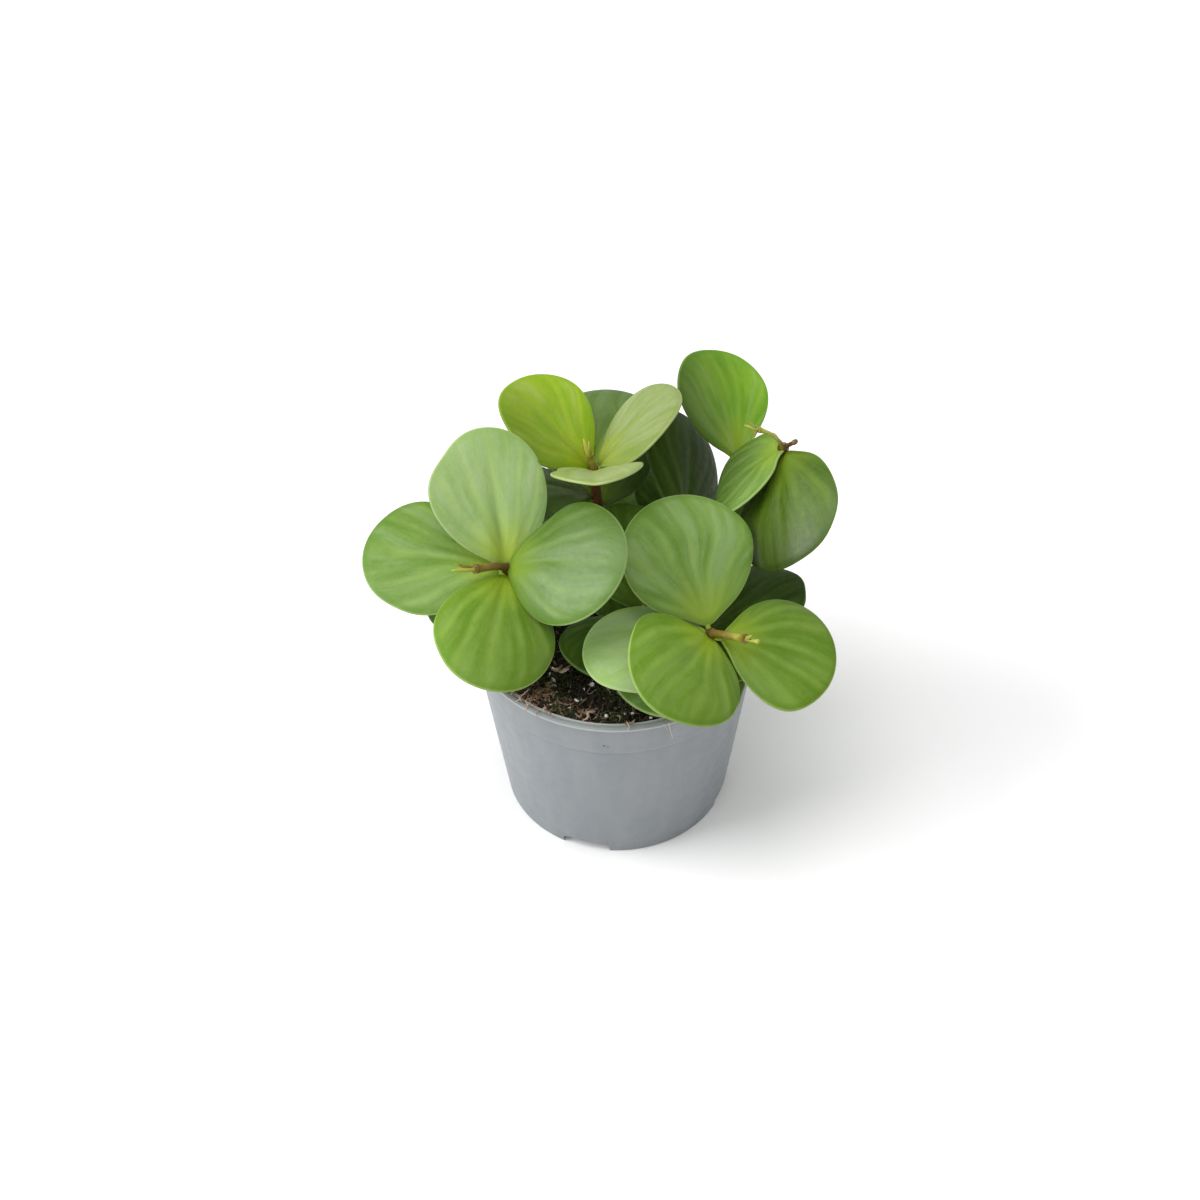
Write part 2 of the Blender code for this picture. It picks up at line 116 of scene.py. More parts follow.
class Graph:
    """A node tree, with short ways to add nodes and join them."""

    def __init__(self, tree: bpy.types.NodeTree) -> None:
        """Keeps the tree that the nodes go into."""
        self.tree = tree

    def add(
        self, kind: str, sources: Mapping[str | int, object] | None = None, **settings: object
    ) -> bpy.types.Node:
        """Adds a node.

        Args:
            kind: The node's type name.
            sources: What goes into its input sockets, by their names or numbers.
            settings: Properties to set on it.

        Returns:
            The new node.
        """
        node = self.tree.nodes.new(kind)
        for name, value in settings.items():
            setattr(node, name, value)
        self.wire(node, sources or {})
        return node

    def wire(self, node: bpy.types.Node, sources: Mapping[str | int, object]) -> None:
        """Feeds a node's input sockets.

        Args:
            node: The node.
            sources: What goes into each socket, by the socket's name or number.
        """
        for key, source in sources.items():
            target = node.inputs[key]
            if isinstance(source, Socket):
                self.tree.links.new(source, target)
            elif isinstance(source, tuple) and target.type == "RGBA":
                target.default_value = (*source, 1.0)
            else:
                target.default_value = source

    def math(self, operation: str, first: object, second: object = 0.0, third: object = 0.0) -> Socket:
        """Adds a Math node.

        Args:
            operation: The node's operation, such as ADD.
            first: The first value or socket.
            second: The second value or socket.
            third: The third value or socket.

        Returns:
            The result's socket.
        """
        return self.add("ShaderNodeMath", {0: first, 1: second, 2: third}, operation=operation).outputs[0]

    def times(self, first: object, second: object) -> Socket:
        """Multiplies two numbers."""
        return self.math("MULTIPLY", first, second)

    def mix(self, share: object, first: object, second: object) -> Socket:
        """Mixes two colours.

        Args:
            share: How much of the second colour shows, from 0 to 1.
            first: The first colour or socket.
            second: The second colour or socket.

        Returns:
            The mixed colour's socket.
        """
        sources = {0: share, 6: first, 7: second}
        return self.add("ShaderNodeMix", sources, data_type="RGBA", clamp_factor=True).outputs[2]

    def coats(self, colour: object, coats: Sequence[tuple[Socket, Colour]]) -> Socket:
        """Lays coats of colour over one another.

        Args:
            colour: The colour below them all, or its socket.
            coats: How much of each coat shows, and its colour.

        Returns:
            The last mixed colour's socket.
        """
        for share, paint in coats:
            colour = self.mix(share, colour, paint)
        return colour

    def dim(self, colour: Socket, share: Socket) -> Socket:
        """Multiplies a colour by a number."""
        sources = {0: 1.0, 6: colour, 7: share}
        return self.add("ShaderNodeMix", sources, data_type="RGBA", blend_type="MULTIPLY").outputs[2]

    def ease(self, value: object, low: float, high: float, start: float = 0.0, end: float = 1.0) -> Socket:
        """Eases a value smoothly from one level to another.

        Args:
            value: The value or socket.
            low: Where the result leaves start.
            high: Where the result reaches end.
            start: The result below low.
            end: The result above high.

        Returns:
            The result's socket.
        """
        sources = {0: value, 1: low, 2: high, 3: start, 4: end}
        return self.add("ShaderNodeMapRange", sources, interpolation_type="SMOOTHSTEP").outputs[0]

    def between(
        self, value: object, rise: tuple[float, float], fall: tuple[float, float], share: float
    ) -> Socket:
        """Gives a band of values: a share inside it, and 0 on both its sides.

        Args:
            value: The value or socket.
            rise: Where the band starts and where it is full.
            fall: Where it starts to fade and where it ends.
            share: The result inside the band.

        Returns:
            The result's socket.
        """
        return self.times(self.ease(value, *rise, 0.0, share), self.ease(value, *fall, 1.0, 0.0))

    def noise(self, place: Socket, size: float, detail: float = 2.0, roughness: float = 0.5) -> Socket:
        """Adds a noise field.

        Args:
            place: The coordinates, in metres.
            size: The size of its lumps, in metres.
            detail: How many finer layers it has.
            roughness: How strong the finer layers are.

        Returns:
            The field's socket, about 0.5 in the middle.
        """
        sources = {"Vector": place, "Scale": 1.0 / size, "Detail": detail, "Roughness": roughness}
        return self.add("ShaderNodeTexNoise", sources).outputs[0]

    def place(self) -> Socket:
        """Gives the surface's own coordinates, in metres."""
        return self.add("ShaderNodeTexCoord").outputs["Object"]

    def carried(self, name: str) -> Socket:
        """Gives a number that the mesh carries under a name."""
        return self.add("ShaderNodeAttribute", attribute_name=name).outputs["Fac"]


def blank_material(name: str) -> tuple[bpy.types.Material, Graph, bpy.types.Node]:
    """Makes a material with one Principled shader.

    Args:
        name: The material's name.

    Returns:
        The material, its graph and its shader node.
    """
    made = bpy.data.materials.new(name)
    made.use_nodes = True
    return made, Graph(made.node_tree), made.node_tree.nodes["Principled BSDF"]


def relief(graph: Graph, shader: bpy.types.Node, height: Socket, depth: float) -> None:
    """Gives a shader a bump from a height field.

    Args:
        graph: The material's graph.
        shader: The shader that takes the bump.
        height: The height field, from 0 to 1.
        depth: The depth of the relief, in metres.
    """
    bump = graph.add("ShaderNodeBump", {"Strength": 1.0, "Distance": depth, "Height": height})
    graph.wire(shader, {"Normal": bump.outputs["Normal"]})


@dataclass(frozen=True)
class LeafFinish:
    """The thick skin of a leaf: green between broad pale veins that fan out from a yellowish base.

    The vein sets give, for main and side veins, their turn, their width, where from the base they start and
    are full, and how strongly they show.
    """

    name: str
    deep: Colour
    mid: Colour
    vein: Colour
    base: Colour
    rim: Colour
    bloom: Colour
    bloom_share: float
    gloss: float
    mirror: float = 0.22
    relief: float = 1.0
    vein_share: ClassVar[float] = 0.82
    streak_share: ClassVar[float] = 0.70
    fan: ClassVar[float] = 0.45
    fan_curve: ClassVar[float] = 0.42
    vein_width: ClassVar[float] = 0.058
    vein_sets: ClassVar[tuple[tuple[float, ...], ...]] = (
        (0.5, 1.0, 0.02, 0.12, 1.0),
        (0.0, 0.60, 0.45, 0.75, 0.45),
    )
    wander: ClassVar[float] = 0.30
    wander_size: ClassVar[float] = 19.0 * MM
    streaks_a_vein: ClassVar[float] = 1.7
    patch_size: ClassVar[float] = 13.0 * MM
    bloom_size: ClassVar[float] = 3.4 * MM
    relief_depth: ClassVar[float] = 0.17 * MM
    glow_depth: ClassVar[float] = 1.2 * MM

    def vein_bands(self, graph: Graph, place: Socket) -> tuple[Socket, Socket, Socket]:
        """Draws the fan of veins over the blade's plan, whose base is at 0 along and midrib at 0.5 across.

        Args:
            graph: The material's graph.
            place: The surface's coordinates.

        Returns:
            How strongly a vein shows, a field of streaks about 0.5, and how far the point is from the base.
        """
        drawn = graph.add("ShaderNodeUVMap", uv_map="plan")
        plan = graph.add("ShaderNodeSeparateXYZ", {0: drawn.outputs[0]})
        along, across = plan.outputs[0], graph.math("SUBTRACT", plan.outputs[1], 0.5)
        wander = graph.math("SUBTRACT", graph.noise(place, self.wander_size, 0.0), 0.5)
        reach = graph.math("SQRT", graph.math("ADD", graph.times(along, along), graph.times(across, across)))
        turn = graph.math("MULTIPLY_ADD", wander, self.wander, graph.math("ARCTAN2", across, along))
        spread = graph.math("MULTIPLY_ADD", reach, -self.fan * self.fan_curve, self.fan)
        fan = graph.math("DIVIDE", turn, spread)
        sets = []
        for offset, width, start, end, share in self.vein_sets:
            near = graph.math("SUBTRACT", graph.math("FRACT", graph.math("ADD", fan, offset)), 0.5)
            away = graph.times(graph.times(graph.math("ABSOLUTE", near), spread), reach)
            line = graph.ease(away, 0.0, self.vein_width * width, 1.0, 0.0)
            sets.append(graph.times(line, graph.ease(reach, start, end, 0.0, share)))
        faded = graph.ease(reach, 0.60, 1.02, 1.0, 0.30)
        patchy = graph.ease(graph.noise(place, 6.0 * MM, 2.0), 0.32, 0.62, 0.55, 1.0)
        veins = graph.times(graph.times(graph.math("MAXIMUM", *sets), faded), patchy)
        spokes = {0: graph.times(fan, self.streaks_a_vein), 1: reach, 2: graph.carried("strain")}
        streaks = graph.noise(graph.add("ShaderNodeCombineXYZ", spokes).outputs[0], 1.0, 4.0, 0.65)
        return veins, streaks, reach

    def skin(self, graph: Graph, place: Socket, veins: Socket, streaks: Socket, reach: Socket) -> Socket:
        """Mixes the skin's colour, from the patches below to the rim and the specks on top.

        Args:
            graph: The material's graph.
            place: The surface's coordinates.
            veins: How strongly a vein shows.
            streaks: The field of streaks.
            reach: How far the point is from the base.

        Returns:
            The colour's socket.
        """
        patches = graph.ease(graph.noise(place, self.patch_size, 3.0, 0.55), 0.33, 0.67)
        bloom = graph.ease(graph.noise(place, self.bloom_size, 5.0, 0.7), 0.36, 0.70, 0.35, 1.0)
        away = graph.ease(reach, 0.08, 0.35, 0.0, self.streak_share)
        edge = graph.carried("edge")
        colour = graph.coats(graph.mix(patches, self.deep, self.mid), (
            (graph.times(bloom, graph.ease(reach, 0.12, 0.65, 0.10, self.bloom_share)), self.bloom),
            (graph.times(graph.ease(streaks, 0.50, 0.36), away), self.deep),
            (graph.times(graph.ease(streaks, 0.48, 0.66), away), self.bloom),
            (graph.times(veins, self.vein_share), self.vein),
            (graph.ease(reach, 0.02, 0.42, 0.90, 0.0), self.base),
            # A darker band just inside the margin, then a paler line on the margin: partly the margin's own
            # colour, partly a painted highlight on the rounded edge.
            (graph.between(edge, (0.88, 0.948), (0.955, 0.970), 0.50), self.deep),
            (graph.ease(edge, 0.966, 0.985, 0.0, 0.50), self.rim),
            (graph.ease(graph.noise(place, 0.8 * MM, 2.0), 0.58, 0.70, 0.0, 0.24), self.vein),
        ))
        # The colour is multiplied by each point's lightness, which holds painted light and shade as well as
        # the leaf's tone.
        return graph.dim(colour, graph.carried("shade"))

    def material(self) -> bpy.types.Material:
        """Builds the material of the blade's upper side and margin.

        Returns:
            The material.
        """
        made, graph, shader = blank_material(self.name)
        place = graph.place()
        veins, streaks, reach = self.vein_bands(graph, place)
        satin = graph.noise(place, 1.6 * MM, 4.0, 0.7)
        graph.wire(shader, {
            "Base Color": self.skin(graph, place, veins, streaks, reach),
            "Roughness": graph.ease(satin, 0.3, 0.7, self.gloss - 0.06, self.gloss + 0.08),
            "Specular IOR Level": self.mirror,
            "Subsurface Weight": 0.10,
            "Subsurface Radius": (0.6, 1.0, 0.2),
            "Subsurface Scale": self.glow_depth,
        })
        height = graph.times(graph.noise(place, 0.50 * MM, 2.0), 0.22)
        for size, share in ((1.3, 0.45), (7.0, 1.3)):
            height = graph.math("MULTIPLY_ADD", graph.noise(place, size * MM, 2.0), share, height)
        height = graph.math("MULTIPLY_ADD", veins, -0.7, height)
        relief(graph, shader, height, self.relief_depth * self.relief)
        return made


@dataclass(frozen=True)
class UndersideFinish:
    """The matt, paler underside of a leaf."""

    name: str = "leaf_underside"
    colour: Colour = (0.22, 0.34, 0.11)
    vein: Colour = (0.30, 0.40, 0.17)

    def material(self) -> bpy.types.Material:
        """Builds the material.

        Returns:
            The material.
        """
        made, graph, shader = blank_material(self.name)
        place = graph.place()
        patches = graph.ease(graph.noise(place, 7.0 * MM, 3.0, 0.6), 0.35, 0.7)
        graph.wire(shader, {"Base Color": graph.mix(patches, self.colour, self.vein), "Roughness": 0.55})
        relief(graph, shader, graph.noise(place, 0.8 * MM, 2.0), 0.08 * MM)
        return made


@dataclass(frozen=True)
class StemFinish:
    """The smooth skin of a stem, brown at the bottom and green to yellow where it is young."""

    name: str = "stem_skin"
    old: Colour = (0.100, 0.042, 0.012)
    ripe: Colour = (0.19, 0.125, 0.020)
    young: Colour = (0.40, 0.43, 0.065)

    def material(self) -> bpy.types.Material:
        """Builds the material, which reads how young the skin is from the mesh.

        Returns:
            The material.
        """
        made, graph, shader = blank_material(self.name)
        place = graph.place()
        streaks = graph.math("SUBTRACT", graph.noise(place, 1.6 * MM, 3.0, 0.6), 0.5)
        youth = graph.math("MULTIPLY_ADD", streaks, 0.5, graph.carried("youth"))
        stages = ((graph.ease(youth, 0.0, 0.5), self.ripe), (graph.ease(youth, 0.45, 0.95), self.young))
        graph.wire(shader, {"Base Color": graph.coats(self.old, stages), "Roughness": 0.38})
        relief(graph, shader, graph.noise(place, 0.7 * MM, 2.0), 0.10 * MM)
        return made


@dataclass(frozen=True)
class PlasticFinish:
    """Satin moulded plastic, with a fine grain, faint flow marks down the wall, painted light on the lip and
    a painted shadow line under the ledge.

    The top and the ledge are heights and the bead is a radius, all in metres.
    """

    name: str = "pot_plastic"
    colour: Colour = (0.174, 0.192, 0.209)
    scuffed: Colour = (0.218, 0.235, 0.251)
    dust: Colour = (0.20, 0.185, 0.165)
    # The next three colours paint light and shade: a light line above the ledge, a shadow under it and light
    # on the lip.
    painted_ledge_light: Colour = (0.29, 0.308, 0.325)
    shadowed: Colour = (0.130, 0.145, 0.160)
    painted_lip_light: Colour = (0.58, 0.59, 0.62)
    mirror: float = 0.95
    top: float = 67.2 * MM
    ledge: float = 55.5 * MM
    bead: float = 43.05 * MM

    def marks(self, graph: Graph, place: Socket, flow: Socket) -> Socket:
        """Mixes the plastic's colour with its scuffs and its dust, a painted shadow under the ledge with a
        painted light line above it, and painted light on the lip.

        Args:
            graph: The material's graph.
            place: The surface's coordinates.
            flow: The field of flow marks.

        Returns:
            The colour's socket.
        """
        top, ledge = self.top, self.ledge
        height = graph.add("ShaderNodeSeparateXYZ", {0: place}).outputs[2]
        level = graph.math("MULTIPLY_ADD", graph.math("SUBTRACT", flow, 0.5), 0.6 * MM, height)
        scuffs = graph.noise(place, 3.2 * MM, 5.0, 0.7)
        near_rim = graph.ease(height, top - 2.5 * MM, top, 0.0, 0.10)
        grit = graph.ease(graph.noise(place, 1.1 * MM, 3.0, 0.6), 0.50, 0.70)
        under = ((ledge - 2.6 * MM, ledge - 0.3 * MM), (ledge - 0.1 * MM, ledge + 0.1 * MM))
        over = ((ledge, ledge + 0.3 * MM), (ledge + 0.5 * MM, ledge + 1.6 * MM))
        flat = graph.add("ShaderNodeVectorMath", {0: place, 1: (1.0, 1.0, 0.0)}, operation="MULTIPLY")
        axis = tuple(POT_AXIS)
        out = graph.add("ShaderNodeVectorMath", {0: flat.outputs[0], 1: axis}, operation="DISTANCE")
        inside = graph.ease(out.outputs["Value"], self.bead - 0.1 * MM, self.bead, 1.0, 0.0)
        crest = graph.ease(height, top - 0.3 * MM, top + 0.1 * MM, 0.0, 0.9)
        return graph.coats(self.colour, (
            (graph.ease(flow, 0.3, 0.7, 0.0, 0.55), self.scuffed),
            (graph.ease(scuffs, 0.56, 0.74, 0.0, 0.35), self.scuffed),
            (graph.times(near_rim, grit), self.dust),
            # Painted shadow in a band under the ledge, and a painted light line just above it.
            (graph.between(level, *under, 0.30), self.shadowed),
            (graph.between(level, *over, 0.10), self.painted_ledge_light),
            # Painted light on the lip's top and its inner edge, in place of the light and gloss that the lip
            # catches.
            (graph.ease(height, top - 0.3 * MM, top + 0.4 * MM, 0.0, 0.50), self.painted_lip_light),
            (graph.times(inside, crest), self.painted_lip_light),
        ))

    def material(self) -> bpy.types.Material:
        """Builds the material.

        Returns:
            The material.
        """
        made, graph, shader = blank_material(self.name)
        place = graph.place()
        squeezed = graph.add("ShaderNodeMapping", {"Vector": place, "Scale": (1.0, 1.0, 0.12)})
        flow = graph.noise(squeezed.outputs[0], 5.0 * MM, 3.0, 0.55)
        graph.wire(shader, {
            "Base Color": self.marks(graph, place, flow),
            "Roughness": graph.ease(graph.noise(place, 4.0 * MM, 4.0, 0.6), 0.3, 0.7, 0.40, 0.50),
            "Specular IOR Level": self.mirror,
        })
        grain = graph.times(graph.noise(place, 0.35 * MM, 2.0), 0.3)
        relief(graph, shader, graph.math("MULTIPLY_ADD", flow, 0.8, grain), 0.05 * MM)
        return made


@dataclass(frozen=True)
class GritFinish:
    """A matt, crumbly finish that drifts between two colours. Its sizes are metres."""

    name: str
    first: Colour
    second: Colour
    patch: float
    rough: float = 0.9
    grain: float = 0.4 * MM
    depth: float = 0.3 * MM
    # A white emission. On the perlite and the root hairs it is painted light that lifts them out of the
    # shade; on the floor it brightens the backdrop evenly.
    glow: float = 0.0

    def material(self) -> bpy.types.Material:
        """Builds the material.

        Returns:
            The material.
        """
        made, graph, shader = blank_material(self.name)
        place = graph.place()
        drift = graph.ease(graph.noise(place, self.patch, 4.0, 0.65), 0.35, 0.68)
        graph.wire(shader, {
            "Base Color": graph.mix(drift, self.first, self.second),
            "Roughness": self.rough,
            "Emission Color": (1.0, 1.0, 1.0),
            "Emission Strength": self.glow,
        })
        relief(graph, shader, graph.noise(place, self.grain, 3.0, 0.6), self.depth)
        return made


class Tone(Enum):
    """The greens of the leaves, from the pale top ones to the dark ones below.

    The colours are the deep and mid green, the vein, the base, the rim and the bloom, and the numbers are the
    bloom's share, the gloss and the mirror.
    """

    PALE = LeafFinish(
        "leaf_pale", (0.250, 0.405, 0.100), (0.300, 0.455, 0.135), (0.375, 0.515, 0.175),
        (0.330, 0.440, 0.030), (0.420, 0.520, 0.230), (0.370, 0.500, 0.245), 0.75, 0.42,
    )
    CREAM = LeafFinish(
        "leaf_cream", (0.185, 0.260, 0.045), (0.220, 0.290, 0.068), (0.260, 0.330, 0.095),
        (0.285, 0.350, 0.045), (0.360, 0.410, 0.180), (0.270, 0.340, 0.140), 0.40, 0.40,
    )
    BRIGHT = LeafFinish(
        "leaf_bright", (0.200, 0.360, 0.003), (0.270, 0.420, 0.006), (0.330, 0.460, 0.030),
        (0.310, 0.410, 0.010), (0.310, 0.420, 0.060), (0.350, 0.465, 0.080), 0.25, 0.44,
    )
    FRESH = LeafFinish(
        "leaf_fresh", (0.094, 0.192, 0.017), (0.132, 0.236, 0.030), (0.196, 0.305, 0.068),
        (0.215, 0.320, 0.024), (0.310, 0.410, 0.160), (0.195, 0.300, 0.105), 0.35, 0.38,
    )
    WAXY = LeafFinish(
        "leaf_waxy", (0.068, 0.148, 0.010), (0.094, 0.182, 0.018), (0.135, 0.225, 0.040),
        (0.180, 0.280, 0.024), (0.300, 0.400, 0.150), (0.125, 0.210, 0.060), 0.25, 0.33, 0.36, relief=0.6,
    )
    LUSH = LeafFinish(
        "leaf_lush", (0.086, 0.178, 0.006), (0.120, 0.220, 0.012), (0.185, 0.292, 0.045),
        (0.225, 0.330, 0.012), (0.290, 0.380, 0.110), (0.150, 0.248, 0.042), 0.35, 0.40, 0.18,
    )
    DEEP = LeafFinish(
        "leaf_deep", (0.095, 0.240, 0.002), (0.148, 0.300, 0.003), (0.190, 0.340, 0.028),
        (0.240, 0.360, 0.010), (0.240, 0.360, 0.090), (0.205, 0.345, 0.060), 0.25, 0.42,
    )
    DARK = LeafFinish(
        "leaf_dark", (0.030, 0.066, 0.001), (0.048, 0.096, 0.002), (0.075, 0.130, 0.010),
        (0.090, 0.140, 0.008), (0.100, 0.165, 0.035), (0.078, 0.132, 0.016), 0.40, 0.34, 0.31, relief=0.5,
    )
    SHADED = LeafFinish(
        "leaf_shaded", (0.030, 0.072, 0.005), (0.048, 0.102, 0.008), (0.080, 0.150, 0.022),
        (0.085, 0.130, 0.015), (0.130, 0.200, 0.060), (0.072, 0.118, 0.014), 0.45, 0.45, 0.05,
    )


class Grit(Enum):
    """The finishes of what lies in the pot, and of the floor."""

    PEAT = GritFinish("peat", (0.008, 0.007, 0.004), (0.042, 0.036, 0.018), 3.0 * MM)
    FIBRE = GritFinish(
        "peat_fibre", (0.190, 0.070, 0.035), (0.720, 0.430, 0.310), 6.0 * MM, 0.8, 0.5 * MM, 0.05 * MM,
    )
    BARK = GritFinish(
        "bark_chip", (0.060, 0.022, 0.012), (0.640, 0.400, 0.290), 1.2 * MM, 0.75, 0.5 * MM, 0.1 * MM,
    )
    # Perlite glows a little: painted light that lifts the grains out of the shade.
    PERLITE = GritFinish(
        "perlite", (0.72, 0.69, 0.62), (0.90, 0.88, 0.84), 1.5 * MM, 0.7, 0.3 * MM, 0.1 * MM, glow=0.15,
    )
    MOSS = GritFinish(
        "moss", (0.030, 0.050, 0.012), (0.170, 0.200, 0.055), 2.0 * MM, 0.7, 0.6 * MM, 0.05 * MM,
    )
    YOUNG_MOSS = GritFinish(
        "young_moss", (0.220, 0.250, 0.070), (0.600, 0.620, 0.300), 0.8 * MM, 0.7, 0.4 * MM, 0.1 * MM,
    )
    # Root hairs glow a little: painted light.
    HAIR = GritFinish(
        "root_hair", (0.50, 0.36, 0.24), (0.66, 0.53, 0.40), 3.0 * MM, 0.7, 0.5 * MM, 0.03 * MM, glow=0.05,
    )
    FLOOR = GritFinish("pale_floor", (0.93, 0.93, 0.93), (0.94, 0.94, 0.94), 0.5, 0.85, 0.2, 0.0, glow=0.06)


def new_mesh(name: str, points: Sequence[Sequence[float]], faces: Sequence[Sequence[int]]) -> bpy.types.Mesh:
    """Makes a smooth mesh with its faces turned outwards.

    Args:
        name: The mesh's name.
        points: Places in metres.
        faces: The corners of each face.

    Returns:
        The mesh.
    """
    mesh = bpy.data.meshes.new(name)
    mesh.from_pydata([tuple(point) for point in points], [], [tuple(face) for face in faces])
    work = bmesh.new()
    work.from_mesh(mesh)
    bmesh.ops.recalc_face_normals(work, faces=work.faces)
    work.to_mesh(mesh)
    work.free()
    mesh.shade_smooth()
    return mesh


def new_object(name: str, data: bpy.types.ID, shown: bool = True) -> bpy.types.Object:
    """Makes an object, and links it to the scene if it is shown.

    Args:
        name: The object's name.
        data: Its mesh, lamp or camera.
        shown: Whether it goes into the scene.

    Returns:
        The object.
    """
    thing = bpy.data.objects.new(name, data)
    if shown:
        bpy.context.scene.collection.objects.link(thing)
    return thing


def carry(mesh: bpy.types.Mesh, name: str, values: Sequence[float]) -> None:
    """Stores one number for each point of a mesh, in the order of the points."""
    mesh.attributes.new(name, "FLOAT", "POINT").data.foreach_set("value", list(values))


def settle(thing: bpy.types.Object, slot: str, *nodes: str) -> None:
    """Makes a finished piece part of the plant.

    Args:
        thing: The piece.
        slot: The record's material slot for the piece; it is not used.
        nodes: The solids that it stands for.
    """
    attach(thing, BODY)
    if nodes:
        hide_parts(*nodes)
    LOG.info("%s: %d faces", thing.name, len(thing.data.polygons))


def plain_copy(thing: bpy.types.Object, name: str) -> bpy.types.Object:
    """Turns an object with modifiers into a new object with a plain mesh, and removes the first one.

    Args:
        thing: The object with modifiers.
        name: The new object's name.

    Returns:
        The new object.
    """
    bpy.context.view_layer.update()
    shaped = thing.evaluated_get(bpy.context.evaluated_depsgraph_get())
    mesh = bpy.data.meshes.new_from_object(shaped)
    mesh.name = name
    bpy.data.objects.remove(thing)
    return new_object(name, mesh)


def run_tree(
    thing: bpy.types.Object, tree: bpy.types.NodeTree, name: str, inputs: Mapping[str, object]
) -> bpy.types.Object:
    """Runs a Geometry Nodes tree on an object.

    Args:
        thing: The object that the tree works on, which is used up.
        tree: The tree.
        name: The result's name.
        inputs: The tree's named inputs.

    Returns:
        An object with the result as a plain mesh.
    """
    modifier = thing.modifiers.new(tree.name, "NODES")
    modifier.node_group = tree
    for item in tree.interface.items_tree:
        if item.in_out == "INPUT" and item.name in inputs:
            modifier[item.identifier] = inputs[item.name]
    return plain_copy(thing, name)


def open_tree(name: str, inputs: Mapping[str, str]) -> tuple[Graph, bpy.types.Node]:
    """Starts a Geometry Nodes tree.

    Args:
        name: The tree's name.
        inputs: The socket type of each named input after the geometry.

    Returns:
        The tree's graph and its input node.
    """
    tree = bpy.data.node_groups.new(name, "GeometryNodeTree")
    tree.interface.new_socket(name="Geometry", in_out="INPUT", socket_type="NodeSocketGeometry")
    for label, kind in inputs.items():
        tree.interface.new_socket(name=label, in_out="INPUT", socket_type="NodeSocket" + kind)
    tree.interface.new_socket(name="Geometry", in_out="OUTPUT", socket_type="NodeSocketGeometry")
    graph = Graph(tree)
    return graph, graph.add("NodeGroupInput")


def close_tree(graph: Graph, given: bpy.types.Node, shape: Socket) -> bpy.types.NodeTree:
    """Ends a tree in Realize Instances and Set Material.

    Args:
        graph: The tree's graph.
        given: Its input node, which has a Material input.
        shape: The geometry so far.

    Returns:
        The finished tree.
    """
    real = graph.add("GeometryNodeRealizeInstances", {"Geometry": shape}).outputs["Geometry"]
    dress = {"Geometry": real, "Material": given.outputs["Material"]}
    dressed = graph.add("GeometryNodeSetMaterial", dress).outputs["Geometry"]
    graph.add("NodeGroupOutput", {"Geometry": dressed})
    return graph.tree


def stem_tree() -> bpy.types.NodeTree:
    """Builds the tree that sweeps a round skin along a stem's line, as thick as the line's points say.

    Returns:
        The tree.
    """
    graph, given = open_tree("stem_sweep", {"Sides": "Int", "Material": "Material"})
    line = graph.add("GeometryNodeMeshToCurve", {"Mesh": given.outputs["Geometry"]})
    girth = graph.add("GeometryNodeInputNamedAttribute", {"Name": "girth"}, data_type="FLOAT")
    section = graph.add(
        "GeometryNodeCurvePrimitiveCircle", {"Resolution": given.outputs["Sides"], "Radius": 1.0}
    )
    sweep = graph.add("GeometryNodeCurveToMesh", {
        "Curve": line.outputs["Curve"],
        "Profile Curve": section.outputs["Curve"],
        "Scale": girth.outputs["Attribute"],
        "Fill Caps": True,
    })
    smooth = graph.add("GeometryNodeSetShadeSmooth", {"Geometry": sweep.outputs["Mesh"]})
    return close_tree(graph, given, smooth.outputs["Geometry"])


def scatter_tree() -> bpy.types.NodeTree:
    """Builds the tree that strews grains over a surface, denser where the surface's share is higher.

    Returns:
        The tree.
    """
    graph, given = open_tree("strewn_grains", {
        "Grains": "Collection", "Per Square Metre": "Float", "Smallest": "Float", "Largest": "Float",
        "Tilt": "Float", "Seed": "Int", "Material": "Material",
    })
    seed, tilt = given.outputs["Seed"], given.outputs["Tilt"]
    share = graph.add("GeometryNodeInputNamedAttribute", {"Name": "share"}, data_type="FLOAT")
    strew = graph.add("GeometryNodeDistributePointsOnFaces", {
        "Mesh": given.outputs["Geometry"],
        "Density": graph.times(given.outputs["Per Square Metre"], share.outputs["Attribute"]),
        "Seed": seed,
    })
    grains = graph.add("GeometryNodeCollectionInfo", {
        "Collection": given.outputs["Grains"],
        "Separate Children": True,
        "Reset Children": True,
    })
    back = graph.times(tilt, -1.0)
    low = graph.add("ShaderNodeCombineXYZ", {0: back, 1: back}).outputs[0]
    high = graph.add("ShaderNodeCombineXYZ", {0: tilt, 1: tilt, 2: math.tau}).outputs[0]
    turn = graph.add("FunctionNodeRandomValue", {0: low, 1: high, "Seed": seed}, data_type="FLOAT_VECTOR")
    sizes = {2: given.outputs["Smallest"], 3: given.outputs["Largest"], "Seed": seed}
    size = graph.add("FunctionNodeRandomValue", sizes, data_type="FLOAT")
    spread = graph.add("GeometryNodeInstanceOnPoints", {
        "Points": strew.outputs["Points"],
        "Instance": grains.outputs["Instances"],
        "Pick Instance": True,
        "Rotation": turn.outputs[0],
        "Scale": size.outputs[1],
    })
    return close_tree(graph, given, spread.outputs["Instances"])


def loft(rings: Sequence[Sequence[Vector]]) -> Solid:
    """Joins rings of equal point count into a closed solid.

    Args:
        rings: The rings in order.

    Returns:
        The points and the faces.
    """
    count = len(rings[0])
    points = [point for circle in rings for point in circle]
    faces: Faces = [tuple(reversed(range(count)))]
    for level in range(len(rings) - 1):
        first = level * count
        for i in range(count):
            j = (i + 1) % count
            faces.append((first + i, first + j, first + count + j, first + count + i))
    last = (len(rings) - 1) * count
    faces.append(tuple(range(last, last + count)))
    return points, faces


